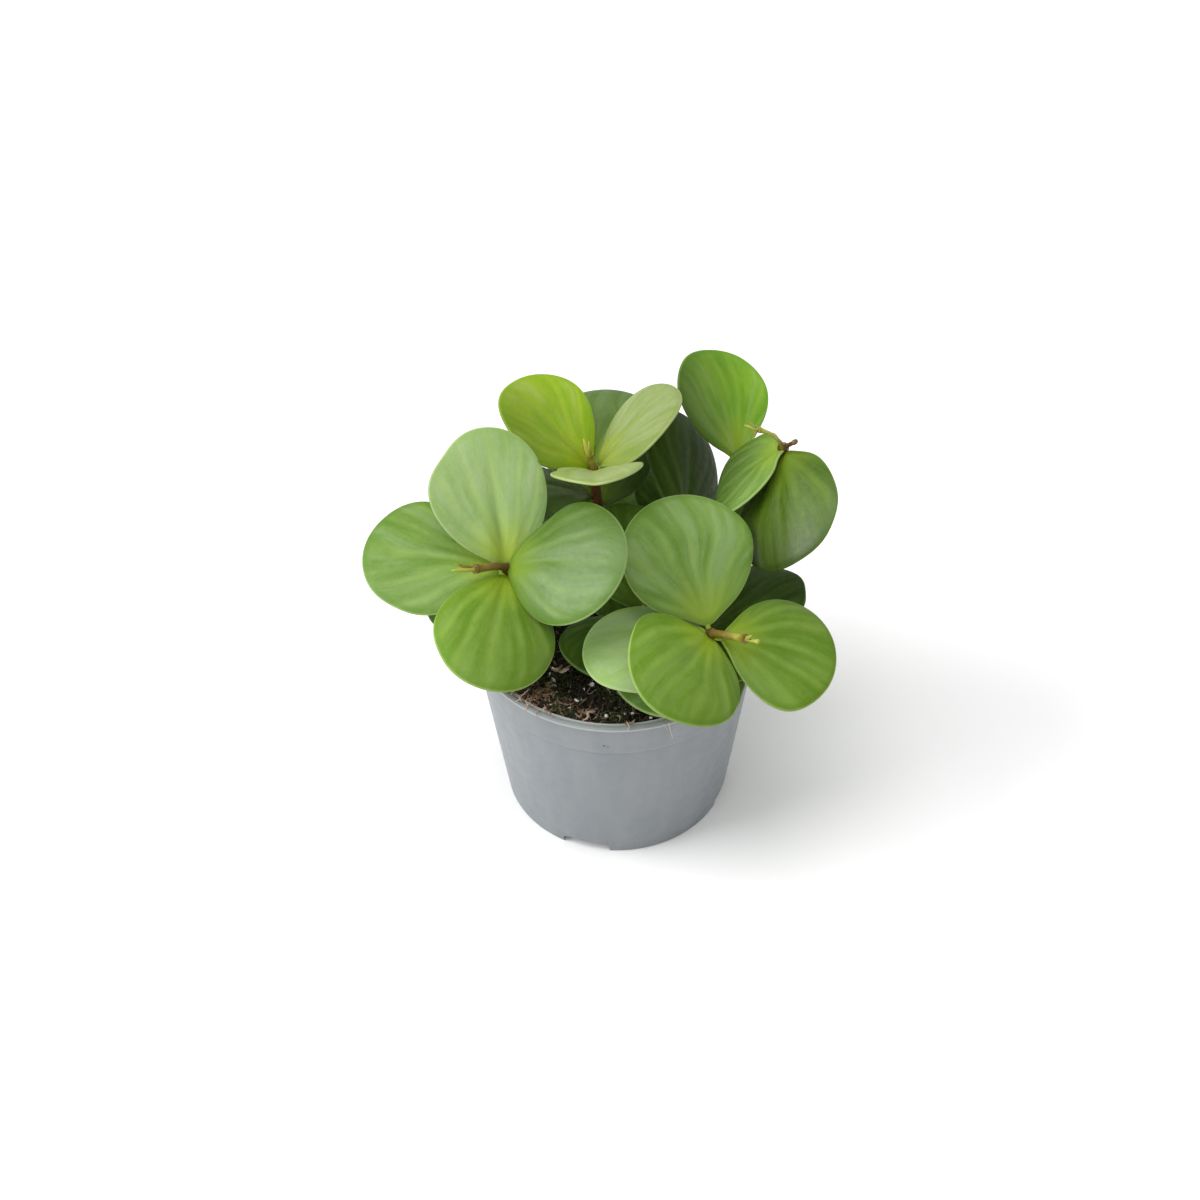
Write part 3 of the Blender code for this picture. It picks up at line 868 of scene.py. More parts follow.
def smooth_route(stops: Sequence[Vector], step: float) -> list[Vector]:
    """Follows a smooth curve through stops.

    Args:
        stops: The places that the curve goes through.
        step: About how far its points are apart.

    Returns:
        The curve's points.
    """
    ends = [stops[0] * 2 - stops[1], *stops, stops[-1] * 2 - stops[-2]]
    route = []
    for k in range(1, len(ends) - 2):
        a, b, c, d = ends[k - 1 : k + 3]
        steps = max(2, round((c - b).length / step))
        for i in range(steps):
            t = i / steps
            bend = (2 * a - 5 * b + 4 * c - d) * t**2 + (3 * b - a - 3 * c + d) * t**3
            route.append(0.5 * (2 * b + (c - a) * t + bend))
    route.append(stops[-1].copy())
    return route


@dataclass
class Leaf:
    """One thick round leaf. Angles are degrees and sizes are millimetres, as the solids have them.

    A corner is an angle about the blade's middle, 0 at the tip, and how far the outline bulges there.
    A petiole ring is a share of the reach, how round it is, and its size as a share of the petiole's radius.
    """

    bearing: float
    lift: float
    roll: float
    length: float
    width: float
    dome: float = 1.0
    droop: float = 2.0
    reach: float = 3.4
    rise: float = 0.0
    tone: Tone = Tone.FRESH
    corners: tuple[tuple[float, float], ...] = ()
    groove: float = 0.6
    keel: float = 0.0
    # These three numbers scale the skin's colour over the whole leaf, towards its tip and from side to side:
    # the leaf's tone together with painted light and shade where other leaves shade it or the lamps light it.
    shade: float = 1.0
    tip_tone_and_painted_light: float = 1.0
    left_tone_and_painted_light: float = 0.0
    thickness: ClassVar[float] = 1.6
    edge: ClassVar[float] = 0.95
    base_wedge: ClassVar[float] = 0.18
    sectors: ClassVar[int] = 96
    cushion: ClassVar[float] = 1.0
    heel: ClassVar[float] = 2.1
    heel_width: ClassVar[float] = 15.0
    wave: ClassVar[float] = 0.28
    corner_width: ClassVar[float] = 24.0
    fold_reach: ClassVar[float] = 0.44
    groove_width: ClassVar[float] = 1.7
    shoulder: ClassVar[float] = 4.6
    shoulder_width: ClassVar[float] = 2.6
    keel_round: ClassVar[float] = 0.1
    inner_rings: ClassVar[tuple[float, ...]] = (
        0.08, 0.17, 0.26, 0.35, 0.44, 0.53, 0.62, 0.70, 0.78, 0.85, 0.91,
    )
    rim_turns: ClassVar[tuple[float, ...]] = (0.0, 26.0, 50.0, 72.0)
    petiole: ClassVar[float] = 0.85
    petiole_depth: ClassVar[float] = 0.55
    petiole_sides: ClassVar[int] = 16
    petiole_rings: ClassVar[tuple[Point, ...]] = (
        (0.0, 1.0, 1.0), (0.3, 1.0, 0.95), (0.6, 0.9, 0.95), (0.9, 0.7, 0.9), (1.4, 0.4, 0.7),
    )

    def outline(self, turn: float, seed: float) -> tuple[float, float]:
        """Gives a point of the blade's outline.

        Args:
            turn: Angle about the blade's middle in radians, 0 at the tip.
            seed: A number that sets how the outline strays from a plain one.

        Returns:
            The point's place along and across the leaf, in millimetres from the blade's middle.
        """
        share = (1.0 + math.cos(turn)) / 2
        stray = 1.0 + 0.010 * math.sin(2 * turn + seed) + 0.009 * math.sin(3 * turn + 2.3 * seed)
        for angle, amount in self.corners:
            away = (math.degrees(turn) - angle + 180.0) % 360.0 - 180.0
            stray += amount * bell(away, self.corner_width)
        half = self.width / 2 * math.sin(turn) * (1.0 - self.base_wedge * (1.0 - share) ** 3)
        behind = (math.degrees(turn) % 360.0) - 180.0
        heel = self.heel * bell(behind, self.heel_width)
        return self.length / 2 * math.cos(turn) * stray - heel, half * stray

    def surface(self, x: float, y: float, out: float, turn: float, seed: float) -> float:
        """Gives the height of the blade's middle surface.

        Args:
            x: Place along the leaf from its node, in millimetres.
            y: Place across it, in millimetres.
            out: How far out from the blade's middle towards its margin, from 0 to 1.
            turn: Angle about the blade's middle in radians.
            seed: A number that sets the blade's waves.

        Returns:
            The height in millimetres above the leaf's own plane.
        """
        share = max(0.0, x - self.reach) / self.length
        across = 2 * y / self.width
        height = -self.dome * across**2 - self.droop * share**2
        height += self.keel * (math.hypot(across, self.keel_round) - self.keel_round)
        fold = self.groove * bell(share, self.fold_reach)
        height -= fold * bell(y, self.groove_width)
        height += 0.5 * fold * bell(abs(y) - self.shoulder, self.shoulder_width)
        height += self.wave * out**2 * math.cos(2 * turn + 1.7 * seed)
        height += self.wave * out**3 * math.cos(3 * turn + seed)
        return height + 0.35 * self.cushion - self.cushion * out**4 - 0.2 * out**10

    def tone_and_painted_light_at(self, along: float, across: float) -> float:
        """Gives how light the skin is at a place in plan, where the leaf's left margin is at 1 across: the
        leaf's tone together with painted light and shade, which change towards its tip and from side to side.
        """
        tip = 1.0 + (self.tip_tone_and_painted_light - 1.0) * along**2
        return self.shade * tip * (1.0 + self.left_tone_and_painted_light * (2.0 * across - 1.0))

    def blade(self, seed: float) -> tuple[list[Vector], Faces, list[float], list[tuple[float, float]]]:
        """Builds the blade as one closed body with a rounded margin.

        Args:
            seed: A number that sets the blade's own small differences.

        Returns:
            The points in millimetres, the faces, how near each point is to the margin, and its place in plan.
        """
        cap = self.edge / 2
        inward = cap / (self.length / 2)
        half = self.thickness / 2
        levels = [(out, half + (cap - half) * out**2, out) for out in self.inner_rings]
        for degrees in self.rim_turns:
            a = math.radians(degrees)
            levels.append((1.0 - inward * (1.0 - math.sin(a)), cap * math.cos(a), 0.95 + 0.05 * math.sin(a)))
        below = [(out, -half, mark) for out, half, mark in reversed(levels)]
        levels += [(1.0, 0.0, 1.0), *below]
        points, marks, plans = [], [], []
        middle = self.reach + self.length / 2
        for out, half, mark in levels:
            for i in range(self.sectors):
                turn = math.tau * i / self.sectors
                x, y = self.outline(turn, seed)
                x, y = middle + x * out, y * out
                points.append(Vector((x, y, self.surface(x, y, out, turn, seed) + half)))
                marks.append(mark)
                plans.append((0.5 + 0.5 * out * math.cos(turn), 0.5 + 0.5 * out * math.sin(turn)))
        for half in (self.thickness / 2, -self.thickness / 2):
            points.append(Vector((middle, 0.0, self.surface(middle, 0.0, 0.0, 0.0, seed) + half)))
            marks.append(0.0)
            plans.append((0.5, 0.5))
        count, last = self.sectors, (len(levels) - 1) * self.sectors
        faces: Faces = []
        for i in range(count):
            j = (i + 1) % count
            faces.append((len(points) - 2, i, j))
            for level in range(len(levels) - 1):
                here, there = level * count, (level + 1) * count
                faces.append((here + i, there + i, there + j, here + j))
            faces.append((last + i, len(points) - 1, last + j))
        return points, faces, marks, plans

    def stalk(self, seed: float) -> Solid:
        """Builds the petiole, which runs from the stem's middle into the blade and flattens there.

        Args:
            seed: The blade's seed.

        Returns:
            The points in millimetres and the faces.
        """
        rings = []
        for along, roundness, size in self.petiole_rings:
            x = self.reach * along
            level = self.surface(x, 0.0, 0.9, math.pi, seed) - self.petiole_depth
            across = Vector((0.0, self.petiole * size, 0.0))
            rise = UP * self.petiole * size * roundness
            rings.append(ring(Vector((x, 0.0, level)), across, rise, self.petiole_sides))
        return loft(rings)

    def build(self, name: str, node: Point, node_name: str, looks: Looks) -> None:
        """Builds the leaf in place.

        Args:
            name: The piece's name.
            node: The stem's node that it grows from, in millimetres from the pot's axis.
            node_name: The solid that it stands for.
            looks: The finished materials by name.
        """
        seed = noise.noise(Vector((self.bearing, self.length, node[2])) * 0.37) * 9.0 + self.bearing * 0.05
        points, faces, marks, plans = self.blade(seed)
        stalk_points, stalk_faces = self.stalk(seed)
        first = len(points)
        faces += [tuple(first + i for i in face) for face in stalk_faces]
        points += stalk_points
        marks += [0.0] * len(stalk_points)
        plans += [(0.03, 0.5)] * len(stalk_points)
        forward, upright = compass(self.bearing, self.lift), compass(self.bearing, self.lift + 90.0)
        turn = Matrix((forward, upright.cross(forward), upright)).transposed()
        turn = turn @ Matrix.Rotation(math.radians(-self.roll), 3, "X")
        origin = POT_AXIS + (Vector(node) + UP * self.rise) * MM
        mesh = new_mesh(name, [origin + turn @ (point * MM) for point in points], faces)
        carry(mesh, "edge", marks)
        carry(mesh, "strain", [seed] * len(points))
        # Each point's lightness: the leaf's tone together with painted light and shade.
        carry(mesh, "shade", [self.tone_and_painted_light_at(along, across) for along, across in plans])
        plan = mesh.uv_layers.new(name="plan")
        for corner, loop in enumerate(mesh.loops):
            plan.data[corner].uv = plans[loop.vertex_index]
        mesh.materials.append(looks[self.tone.value.name])
        mesh.materials.append(looks["leaf_underside"])
        below = (len(self.inner_rings) + len(self.rim_turns) + 1) * self.sectors
        for face in mesh.polygons:
            if min(face.vertices) >= below and max(face.vertices) < first:
                face.material_index = 1
        settle(new_object(name, mesh), "leaf_green", node_name)


@dataclass
class Whorl:
    """A stem's node with the leaves that grow from it. With no leaves it is a plain bend of the stem."""

    name: str
    at: Point
    leaves: tuple[Leaf, ...] = ()


@dataclass
class Bud:
    """A small folded pair of leaves at a stem's end, or a stub. Sizes are millimetres.

    Its profiles give shares of its length, and its thickness there as a share of its radius.
    """

    start: Point
    tip: Point
    radius: float
    youth: float = 1.0
    blunt: bool = False
    sides: ClassVar[int] = 12
    folded: ClassVar[tuple[tuple[float, float], ...]] = (
        (0.0, 0.9), (0.12, 1.05), (0.3, 1.15), (0.5, 1.05), (0.7, 0.8), (0.87, 0.45), (1.0, 0.12),
    )
    stub: ClassVar[tuple[tuple[float, float], ...]] = (
        (0.0, 0.95), (0.2, 0.9), (0.75, 0.85), (0.85, 1.1), (0.95, 1.05), (1.0, 0.7),
    )

    def shape(self) -> tuple[list[Vector], Faces, list[float]]:
        """Builds the bud.

        Returns:
            The points in metres, the faces, and how young the skin is at each point.
        """
        start, tip = Vector(self.start) * MM, Vector(self.tip) * MM
        heading = (tip - start).normalized()
        guide = UP if abs(heading.z) < 0.9 else Vector((1.0, 0.0, 0.0))
        across = heading.cross(guide).normalized()
        other = heading.cross(across)
        profile, fold, growth = (self.stub, 0.0, 0.35) if self.blunt else (self.folded, 0.45, 0.25)
        rings, youth = [], []
        for along, size in profile:
            width = self.radius * MM * size
            points = []
            for i in range(self.sides):
                a = math.tau * i / self.sides
                pinch = 1.0 - fold * max(0.0, math.cos(a)) ** 6
                offset = across * math.cos(a) * width * pinch + other * math.sin(a) * width * 0.75
                points.append(start.lerp(tip, along) + offset)
            rings.append(points)
            youth += [self.youth + growth * along] * self.sides
        return *loft(rings), youth


@dataclass
class Stem:
    """A leafy stem: its foot in the soil, its whorls from the lowest up, its last ring and its buds.

    Sizes are millimetres. Youth is 0 for old brown skin and 1 for young yellow skin.
    """

    name: str
    foot: tuple[float, float]
    whorls: tuple[Whorl, ...]
    ring: Point
    buds: tuple[Bud, ...]
    shoot_youth: tuple[float, float] = (0.2, 1.0)
    shoot_radius: float = 1.0
    foot_radius: ClassVar[float] = 1.9
    top_radius: ClassVar[float] = 1.4
    swell: ClassVar[float] = 0.4
    swell_reach: ClassVar[float] = 1.6
    scar: ClassVar[float] = 0.25
    scar_reach: ClassVar[float] = 1.2
    straight: ClassVar[float] = 2.5
    buried: ClassVar[tuple[float, float]] = (6.0, 1.0)
    step: ClassVar[float] = 0.8
    sides: ClassVar[int] = 24

    def line(self, soil: "Soil") -> tuple[list[Vector], list[float], list[float]]:
        """Finds the stem's middle line.

        Args:
            soil: The soil that it stands in.

        Returns:
            The line's points in metres from the pot's axis, its radii in metres, and how young each point is.
        """
        x, y = self.foot[0] * MM, self.foot[1] * MM
        ground = soil.height(x, y)
        stops = [Vector((x, y, ground + self.straight * MM))]
        stops += [Vector(place) * MM for place in (*(whorl.at for whorl in self.whorls), self.ring)]
        nodes = [Vector(whorl.at) * MM for whorl in self.whorls if whorl.leaves] + [stops[-1]]
        route = smooth_route(stops, self.step * MM)
        top = min(range(len(route)), key=lambda i: (route[i] - nodes[-2]).length)
        points = [Vector((x, y, ground - depth * MM)) for depth in self.buried]
        points += route
        radii, youth = [self.foot_radius * MM] * 2, [0.0, 0.0]
        start, end = self.shoot_youth
        for i, point in enumerate(route):
            nearest = min((point - node).length for node in nodes) / MM
            if i > top:
                along = (i - top) / max(1, len(route) - 1 - top)
                radius, grown = self.shoot_radius, start + (end - start) * smooth_step(along, 0.1, 0.9)
            else:
                share = min(1.0, i / max(1, top))
                radius, grown = self.foot_radius + (self.top_radius - self.foot_radius) * share, 0.0
            radii.append((radius + self.swell * bell(nearest, self.swell_reach)) * MM)
            youth.append(grown - self.scar * bell(nearest, self.scar_reach))
        return points, radii, youth

    def build(self, soil: "Soil", tree: bpy.types.NodeTree, looks: Looks) -> None:
        """Builds the stem's skin with its buds, and its leaves.

        Args:
            soil: The soil that it stands in.
            tree: The tree that sweeps a stem's skin.
            looks: The finished materials by name.
        """
        points, radii, youth = self.line(soil)
        mesh = bpy.data.meshes.new(self.name + "_line")
        edges = [(i, i + 1) for i in range(len(points) - 1)]
        mesh.from_pydata([POT_AXIS + point for point in points], edges, [])
        carry(mesh, "girth", radii)
        carry(mesh, "youth", youth)
        line = new_object(self.name + "_line", mesh)
        inputs = {"Sides": self.sides, "Material": looks["stem_skin"]}
        skin = run_tree(line, tree, "shoot_" + self.name, inputs)
        work = bmesh.new()
        work.from_mesh(skin.data)
        layer = work.verts.layers.float["youth"]
        for bud in self.buds:
            bud_points, bud_faces, bud_youth = bud.shape()
            made = [work.verts.new(POT_AXIS + point) for point in bud_points]
            for vertex, value in zip(made, bud_youth):
                vertex[layer] = value
            fresh = [work.faces.new([made[i] for i in face]) for face in bud_faces]
            for face in fresh:
                face.smooth = True
            bmesh.ops.recalc_face_normals(work, faces=fresh)
        work.to_mesh(skin.data)
        work.free()
        settle(skin, "stem_skin", "stem_" + self.name)
        for whorl in self.whorls:
            for number, leaf in enumerate(whorl.leaves, 1):
                place = f"{self.name}_{whorl.name}_{number}"
                leaf.build("blade_" + place, whorl.at, "leaf_" + place, looks)


@dataclass
class Pot:
    """The nursery pot. Its sizes are millimetres, as the solid has them."""

    rim: float = 45.0
    foot: float = 35.0
    height: float = 68.0
    wall: float = 1.2
    band: float = 12.5
    step: float = 0.7
    floor: float = 4.0
    foot_width: float = 2.4
    lip: float = 0.5
    notch_width: float = 15.0
    notch_height: float = 3.6
    notches: tuple[float, ...] = (253.0, 343.0, 73.0, 163.0)
    drain: float = 3.5
    drain_ring: float = 21.0
    drain_sides: int = 36
    drains: tuple[float, ...] = (28.0, 118.0, 208.0, 298.0)
    sides: int = 168
    sharp_angle: float = 42.0

    def wall_radius(self, height: float) -> float:
        """Gives the outer radius of the wall below the rim band, in millimetres, at a height."""
        return self.foot + (self.rim - self.step - self.foot) * height / self.height

    def profile(self) -> list[tuple[float, float]]:
        """Gives the pot's section as a closed ring, with rounded edges.

        Returns:
            Each point's radius and height, in millimetres.
        """
        low = self.height - self.band
        inner = self.floor + self.wall
        lip, rim, inside = self.lip, self.rim, self.foot - self.foot_width
        points = [(self.foot - lip, 0.0), (self.foot - 0.3 * lip, 0.12 * lip), (self.wall_radius(lip), lip)]
        points += [(self.wall_radius(h), h) for h in (14.0, 28.0, 42.0)]
        points += [
            (self.wall_radius(low - 1.2), low - 1.2),
            (self.wall_radius(low) - 0.15, low - 0.45),
            (self.wall_radius(low) - 0.05, low - 0.08),
            (self.wall_radius(low) + 0.75 * self.step, low - 0.05),
            (self.wall_radius(low) + 1.05 * self.step, low + 0.30),
            (self.wall_radius(low) + self.step + 0.08, low + 0.95),
            (self.wall_radius(low + 5.0) + self.step - 0.10, low + 5.0),
            (rim - 0.20, self.height - 1.60),
            (rim - 0.30, self.height - 1.10),
            (rim - 0.26, self.height - 0.94),
            (rim + 0.26, self.height - 0.72),
            (rim + 0.36, self.height - 0.40),
            (rim + 0.22, self.height - 0.12),
            (rim - 0.20, self.height),
            (rim - 1.45, self.height),
            (rim - 1.60, self.height - 0.12),
            (rim - 1.72, self.height - 0.62),
            (rim - 1.98, self.height - 0.62),
            (rim - 2.08, self.height - 0.28),
            (rim - 2.75, self.height - 0.30),
            (rim - 2.98, self.height - 0.55),
            (rim - 3.00, self.height - 1.30),
            (rim - self.step - self.wall, self.height - 2.60),
        ]
        points += [(self.wall_radius(h) - self.wall, h) for h in (50.0, 30.0, inner + 1.0)]
        points += [(self.wall_radius(inner) - self.wall - 0.8, inner), (self.drain, inner)]
        points += [(self.drain, self.floor), (inside - 0.4, self.floor), (inside, self.floor - 0.4)]
        return [*points, (inside, 0.0)]

    def notch(self, bearing: float) -> bpy.types.Object:
        """Builds the cutter of one drain notch with rounded upper corners.

        Args:
            bearing: Where the notch is.

        Returns:
            The cutter.
        """
        along, across = compass(bearing), compass(bearing + 90.0)
        half, corner = self.notch_width / 2, self.notch_height * 0.5
        section = [(-half, -self.notch_height), (half, -self.notch_height)]
        for centre, first in ((half - corner, 0.0), (corner - half, 90.0)):
            for i in range(6):
                a = math.radians(first + 18.0 * i)
                rise = self.notch_height - corner + corner * math.sin(a)
                section.append((centre + corner * math.cos(a), rise))
        rings = []
        for reach in (self.foot - 2.5 * self.foot_width, self.foot + self.foot_width):
            rings.append([POT_AXIS + (along * reach + across * y + UP * z) * MM for y, z in section])
        return new_object(f"notch_cutter_{round(bearing)}", new_mesh("notch", *loft(rings)))

    def drain_cutter(self, bearing: float) -> bpy.types.Object:
        """Builds the cutter of one drain hole.

        Args:
            bearing: Where the hole is on its ring.

        Returns:
            The cutter.
        """
        centre = POT_AXIS + compass(bearing) * self.drain_ring * MM
        axes = [compass(turn) * self.drain * MM for turn in (0.0, 90.0)]
        levels = (self.floor - self.wall, self.floor + 2 * self.wall)
        rings = [ring(centre + UP * level * MM, *axes, self.drain_sides) for level in levels]
        return new_object(f"drain_cutter_{round(bearing)}", new_mesh("drain", *loft(rings)))

    def build(self, looks: Looks) -> None:
        """Builds the pot.

        Args:
            looks: The finished materials by name.
        """
        profile = self.profile()
        points, faces = [], []
        count = len(profile)
        for side in range(self.sides):
            way = compass(360.0 * side / self.sides)
            points += [POT_AXIS + (way * radius + UP * height) * MM for radius, height in profile]
            here, there = side * count, (side + 1) % self.sides * count
            for i in range(count):
                j = (i + 1) % count
                faces.append((here + i, there + i, there + j, here + j))
        rough = new_object("pot_turned", new_mesh("pot_turned", points, faces))
        cutters = [self.notch(bearing) for bearing in self.notches]
        cutters += [self.drain_cutter(bearing) for bearing in self.drains]
        for cutter in cutters:
            cut = rough.modifiers.new(cutter.name, "BOOLEAN")
            cut.operation = "DIFFERENCE"
            cut.solver = "EXACT"
            cut.object = cutter
        pot = plain_copy(rough, "nursery_pot")
        for cutter in cutters:
            bpy.data.objects.remove(cutter)
        pot.data.materials.clear()
        pot.data.materials.append(looks["pot_plastic"])
        pot.data.shade_smooth()
        pot.data.set_sharp_from_angle(angle=math.radians(self.sharp_angle))
        settle(pot, "pot_plastic", "pot")


class Spread(Enum):
    """Where on the soil a kind of grain falls."""

    EVEN = "evenly"
    BY_THE_RIM = "most at the front left of the rim"
    SHORT_OF_THE_RIM = "as by the rim, but not on its last millimetres"
    MOSSY = "in a few patches"


@dataclass(frozen=True)
class Litter:
    """One kind of grain that is strewn over the soil.

    The density is in grains on a square millimetre, the smallest and largest size are millimetres, and the
    lean is degrees.
    """

    name: str
    kind: str
    finish: Grit
    spread: Spread
    density: float
    sizes: tuple[float, float]
    lean: float
    seed: int


LITTER = (
    Litter("peat_crumbs", "crumbs", Grit.PEAT, Spread.EVEN, 0.50, (0.6, 2.6), 180.0, 11),
    Litter("bark_chips", "chips", Grit.BARK, Spread.BY_THE_RIM, 0.50, (0.7, 2.3), 40.0, 17),
    Litter("fine_fibres", "fibres", Grit.FIBRE, Spread.SHORT_OF_THE_RIM, 1.70, (2.0, 5.0), 28.0, 5),
    Litter("pale_fibres", "fibres", Grit.HAIR, Spread.EVEN, 0.07, (1.2, 3.6), 28.0, 31),
    Litter("dark_fibres", "fibres", Grit.PEAT, Spread.EVEN, 0.10, (3.0, 8.0), 16.0, 8),
    Litter("perlite_grains", "grit", Grit.PERLITE, Spread.EVEN, 0.035, (0.5, 1.4), 180.0, 3),
    Litter("moss_tufts", "tufts", Grit.MOSS, Spread.MOSSY, 1.3, (0.9, 2.0), 25.0, 21),
)


@dataclass
class Soil:
    """The peat in the pot, with crumbs, fibres, perlite and moss on it. Sizes are millimetres."""

    pot: Pot
    edge: float = 63.0
    mound: float = 2.0
    lump: float = 1.1
    lump_size: float = 6.0
    clearance: float = 0.5
    sides: int = 120
    rings: int = 44
    bank: float = 4.3
    bank_bearing: float = 224.0
    bank_width: float = 32.0
    grid: int = 46
    grid_margin: float = 1.2
    fibre_limit: float = 40.3
    fibre_bend: float = 0.45
    fibre_thick: float = 0.075
    fibre_taper: float = 0.5
    kinds: dict[str, bpy.types.Collection] = field(default_factory=dict)

    def height(self, x: float, y: float) -> float:
        """Gives the height of the solid's top.

        Args:
            x: Place from the pot's axis, in metres.
            y: Place from the pot's axis, in metres.

        Returns:
            The height in metres.
        """
        share = min(1.0, math.hypot(x, y) / (self.pot.rim * MM))
        lump = noise.noise(Vector((x, y, 0.0)) / (self.lump_size * MM))
        return (self.edge + self.mound * (1.0 - share**2) + self.lump * lump) * MM

    def fine_height(self, x: float, y: float) -> float:
        """Gives the height of the crumbly top, with finer lumps than the solid's and a bank by the rim.

        Args:
            x: Place from the pot's axis, in metres.
            y: Place from the pot's axis, in metres.

        Returns:
            The height in metres.
        """
        place = Vector((x, y, 0.0)) / MM
        rough = 0.55 * noise.noise(place / 2.1) + 0.35 * noise.noise(place / 0.9 + Vector((7.0, 3.0, 1.0)))
        banked = self.bank * self.beside(place.x, place.y) * smooth_step(place.length, 28.0, 40.0)
        return self.height(x, y) + (rough + banked) * MM

    def beside(self, x: float, y: float) -> float:
        """Gives how near a bearing is to where the bark lies banked up against the rim, from 0 to 1."""
        bearing = math.degrees(math.atan2(y, x)) % 360.0
        return bell((bearing - self.bank_bearing + 180.0) % 360.0 - 180.0, self.bank_width)

    def at(self, step: int, radius: float, height: float) -> Vector:
        """Gives a point from the pot's axis, in metres, from its step round the soil and its millimetres."""
        return (compass(360.0 * step / self.sides) * radius + UP * height) * MM

    def bed(self) -> bpy.types.Mesh:
        """Builds the peat's closed body.

        Returns:
            The mesh.
        """
        floor = self.pot.floor + self.pot.wall + 0.3
        inset = self.pot.wall + self.clearance
        top = self.pot.wall_radius(self.edge) - inset + 0.3
        points = [UP * floor * MM]
        points += [self.at(i, self.pot.wall_radius(floor) - inset, floor) for i in range(self.sides)]
        for level in range(self.rings):
            radius = top * (1.0 - level / self.rings)
            for i in range(self.sides):
                place = self.at(i, radius, 0.0)
                points.append(Vector((place.x, place.y, self.fine_height(place.x, place.y))))
        points.append(UP * self.fine_height(0.0, 0.0))
        faces: Faces = []
        last = 1 + self.rings * self.sides
        for i in range(self.sides):
            j = (i + 1) % self.sides
            faces.append((0, 1 + j, 1 + i))
            for level in range(self.rings):
                first, second = 1 + level * self.sides, 1 + (level + 1) * self.sides
                faces.append((first + i, first + j, second + j, second + i))
            faces.append((last + i, last + j, len(points) - 1))
        return new_mesh("peat_bed", [POT_AXIS + point for point in points], faces)

    def share(self, spread: Spread, x: float, y: float) -> float:
        """Gives how densely a place is strewn.

        Args:
            spread: Where the grains fall.
            x: Place from the pot's axis, in millimetres.
            y: Place from the pot's axis, in millimetres.

        Returns:
            A share of the full density.
        """
        if spread is Spread.EVEN:
            return 1.0
        if spread is Spread.MOSSY:
            patch = noise.noise(Vector((x, y, 4.0)) / 9.0)
            return smooth_step(patch + 0.25 * bell(x - 6.0, 12.0) * bell(y + 33.0, 9.0), 0.0, 0.3)
        radius = math.hypot(x, y)
        if spread is Spread.SHORT_OF_THE_RIM and radius >= self.fibre_limit:
            return 0.0
        outer = smooth_step(radius, 31.0, 38.0)
        return 0.03 + 0.10 * outer + 0.87 * outer * self.beside(x, y)

    def ground(self, name: str, spread: Spread) -> bpy.types.Object:
        """Makes the open top surface that grains are strewn on.

        Args:
            name: The surface's name.
            spread: Where the grains fall.

        Returns:
            The surface as an object, to be used up.
        """
        count, most = self.grid, self.pot.wall_radius(self.edge) - self.pot.wall - self.grid_margin
        lines = [most * (2.0 * i / (count - 1) - 1.0) for i in range(count)]
        points, shares = [], []
        for y in lines:
            for x in lines:
                points.append(POT_AXIS + Vector((x * MM, y * MM, self.fine_height(x * MM, y * MM))))
                shares.append(self.share(spread, x, y) if math.hypot(x, y) < most else 0.0)
        faces: Faces = []
        for row in range(count - 1):
            for column in range(count - 1):
                i = row * count + column
                faces.append((i, i + 1, i + 1 + count, i + count))
        mesh = bpy.data.meshes.new(name)
        mesh.from_pydata([tuple(point) for point in points], [], faces)
        carry(mesh, "share", shares)
        return new_object(name, mesh)

    def keep(self, kind: str, shapes: Sequence[bpy.types.Mesh]) -> None:
        """Keeps a kind's grain shapes in a collection outside the scene.

        Args:
            kind: What the grains are.
            shapes: Their meshes, each about a millimetre across.
        """
        self.kinds[kind] = bpy.data.collections.new(kind)
        for number, mesh in enumerate(shapes):
            self.kinds[kind].objects.link(new_object(f"{kind}_{number}", mesh, shown=False))

    def lumps(self, kind: str, count: int, squash: float) -> list[bpy.types.Mesh]:
        """Makes uneven lumps of a millimetre across.

        Args:
            kind: What the lumps are.
            count: How many shapes there are.
            squash: How flat they are, from 0 to 1.

        Returns:
            The meshes.
        """
        long, wide = 1.0 + 0.25 / squash, 0.9 - 0.06 / squash
        made = []
        for number in range(count):
            work = bmesh.new()
            bmesh.ops.create_icosphere(work, subdivisions=1, radius=0.5 * MM)
            for vertex in work.verts:
                way = vertex.co.normalized()
                stray = 1.0 + 0.75 * noise.noise(way * 1.7 + Vector((number * 5.3, 0.0, 0.0)))
                x, y, z = vertex.co
                vertex.co = (x * stray * long, y * stray * wide, z * stray * squash)
            mesh = bpy.data.meshes.new(f"{kind}_{number}")
            work.to_mesh(mesh)
            work.free()
            made.append(mesh)
        return made

    def strands(self, count: int) -> list[bpy.types.Mesh]:
        """Makes thin bent fibres a millimetre long that start at their origin.

        Args:
            count: How many shapes there are.

        Returns:
            The meshes.
        """
        made = []
        for number in range(count):
            rings = []
            for i in range(7):
                along = i / 6
                stray = Vector((number * 3.1, along * 1.4, 0.0))
                aside = self.fibre_bend * noise.noise(stray) * along * 2.0
                rise = self.fibre_bend * noise.noise(stray + UP * 8.0)
                middle = Vector((along, aside, rise))
                size = self.fibre_thick / 2 * (1.0 + (self.fibre_taper - 1.0) * along)
                ways = [Vector((0.0, math.cos(turn), math.sin(turn))) for turn in (0.3, 2.4, 4.5)]
                rings.append([(middle + way * size) * MM for way in ways])
            made.append(new_mesh(f"fibre_{number}", *loft(rings)))
        return made

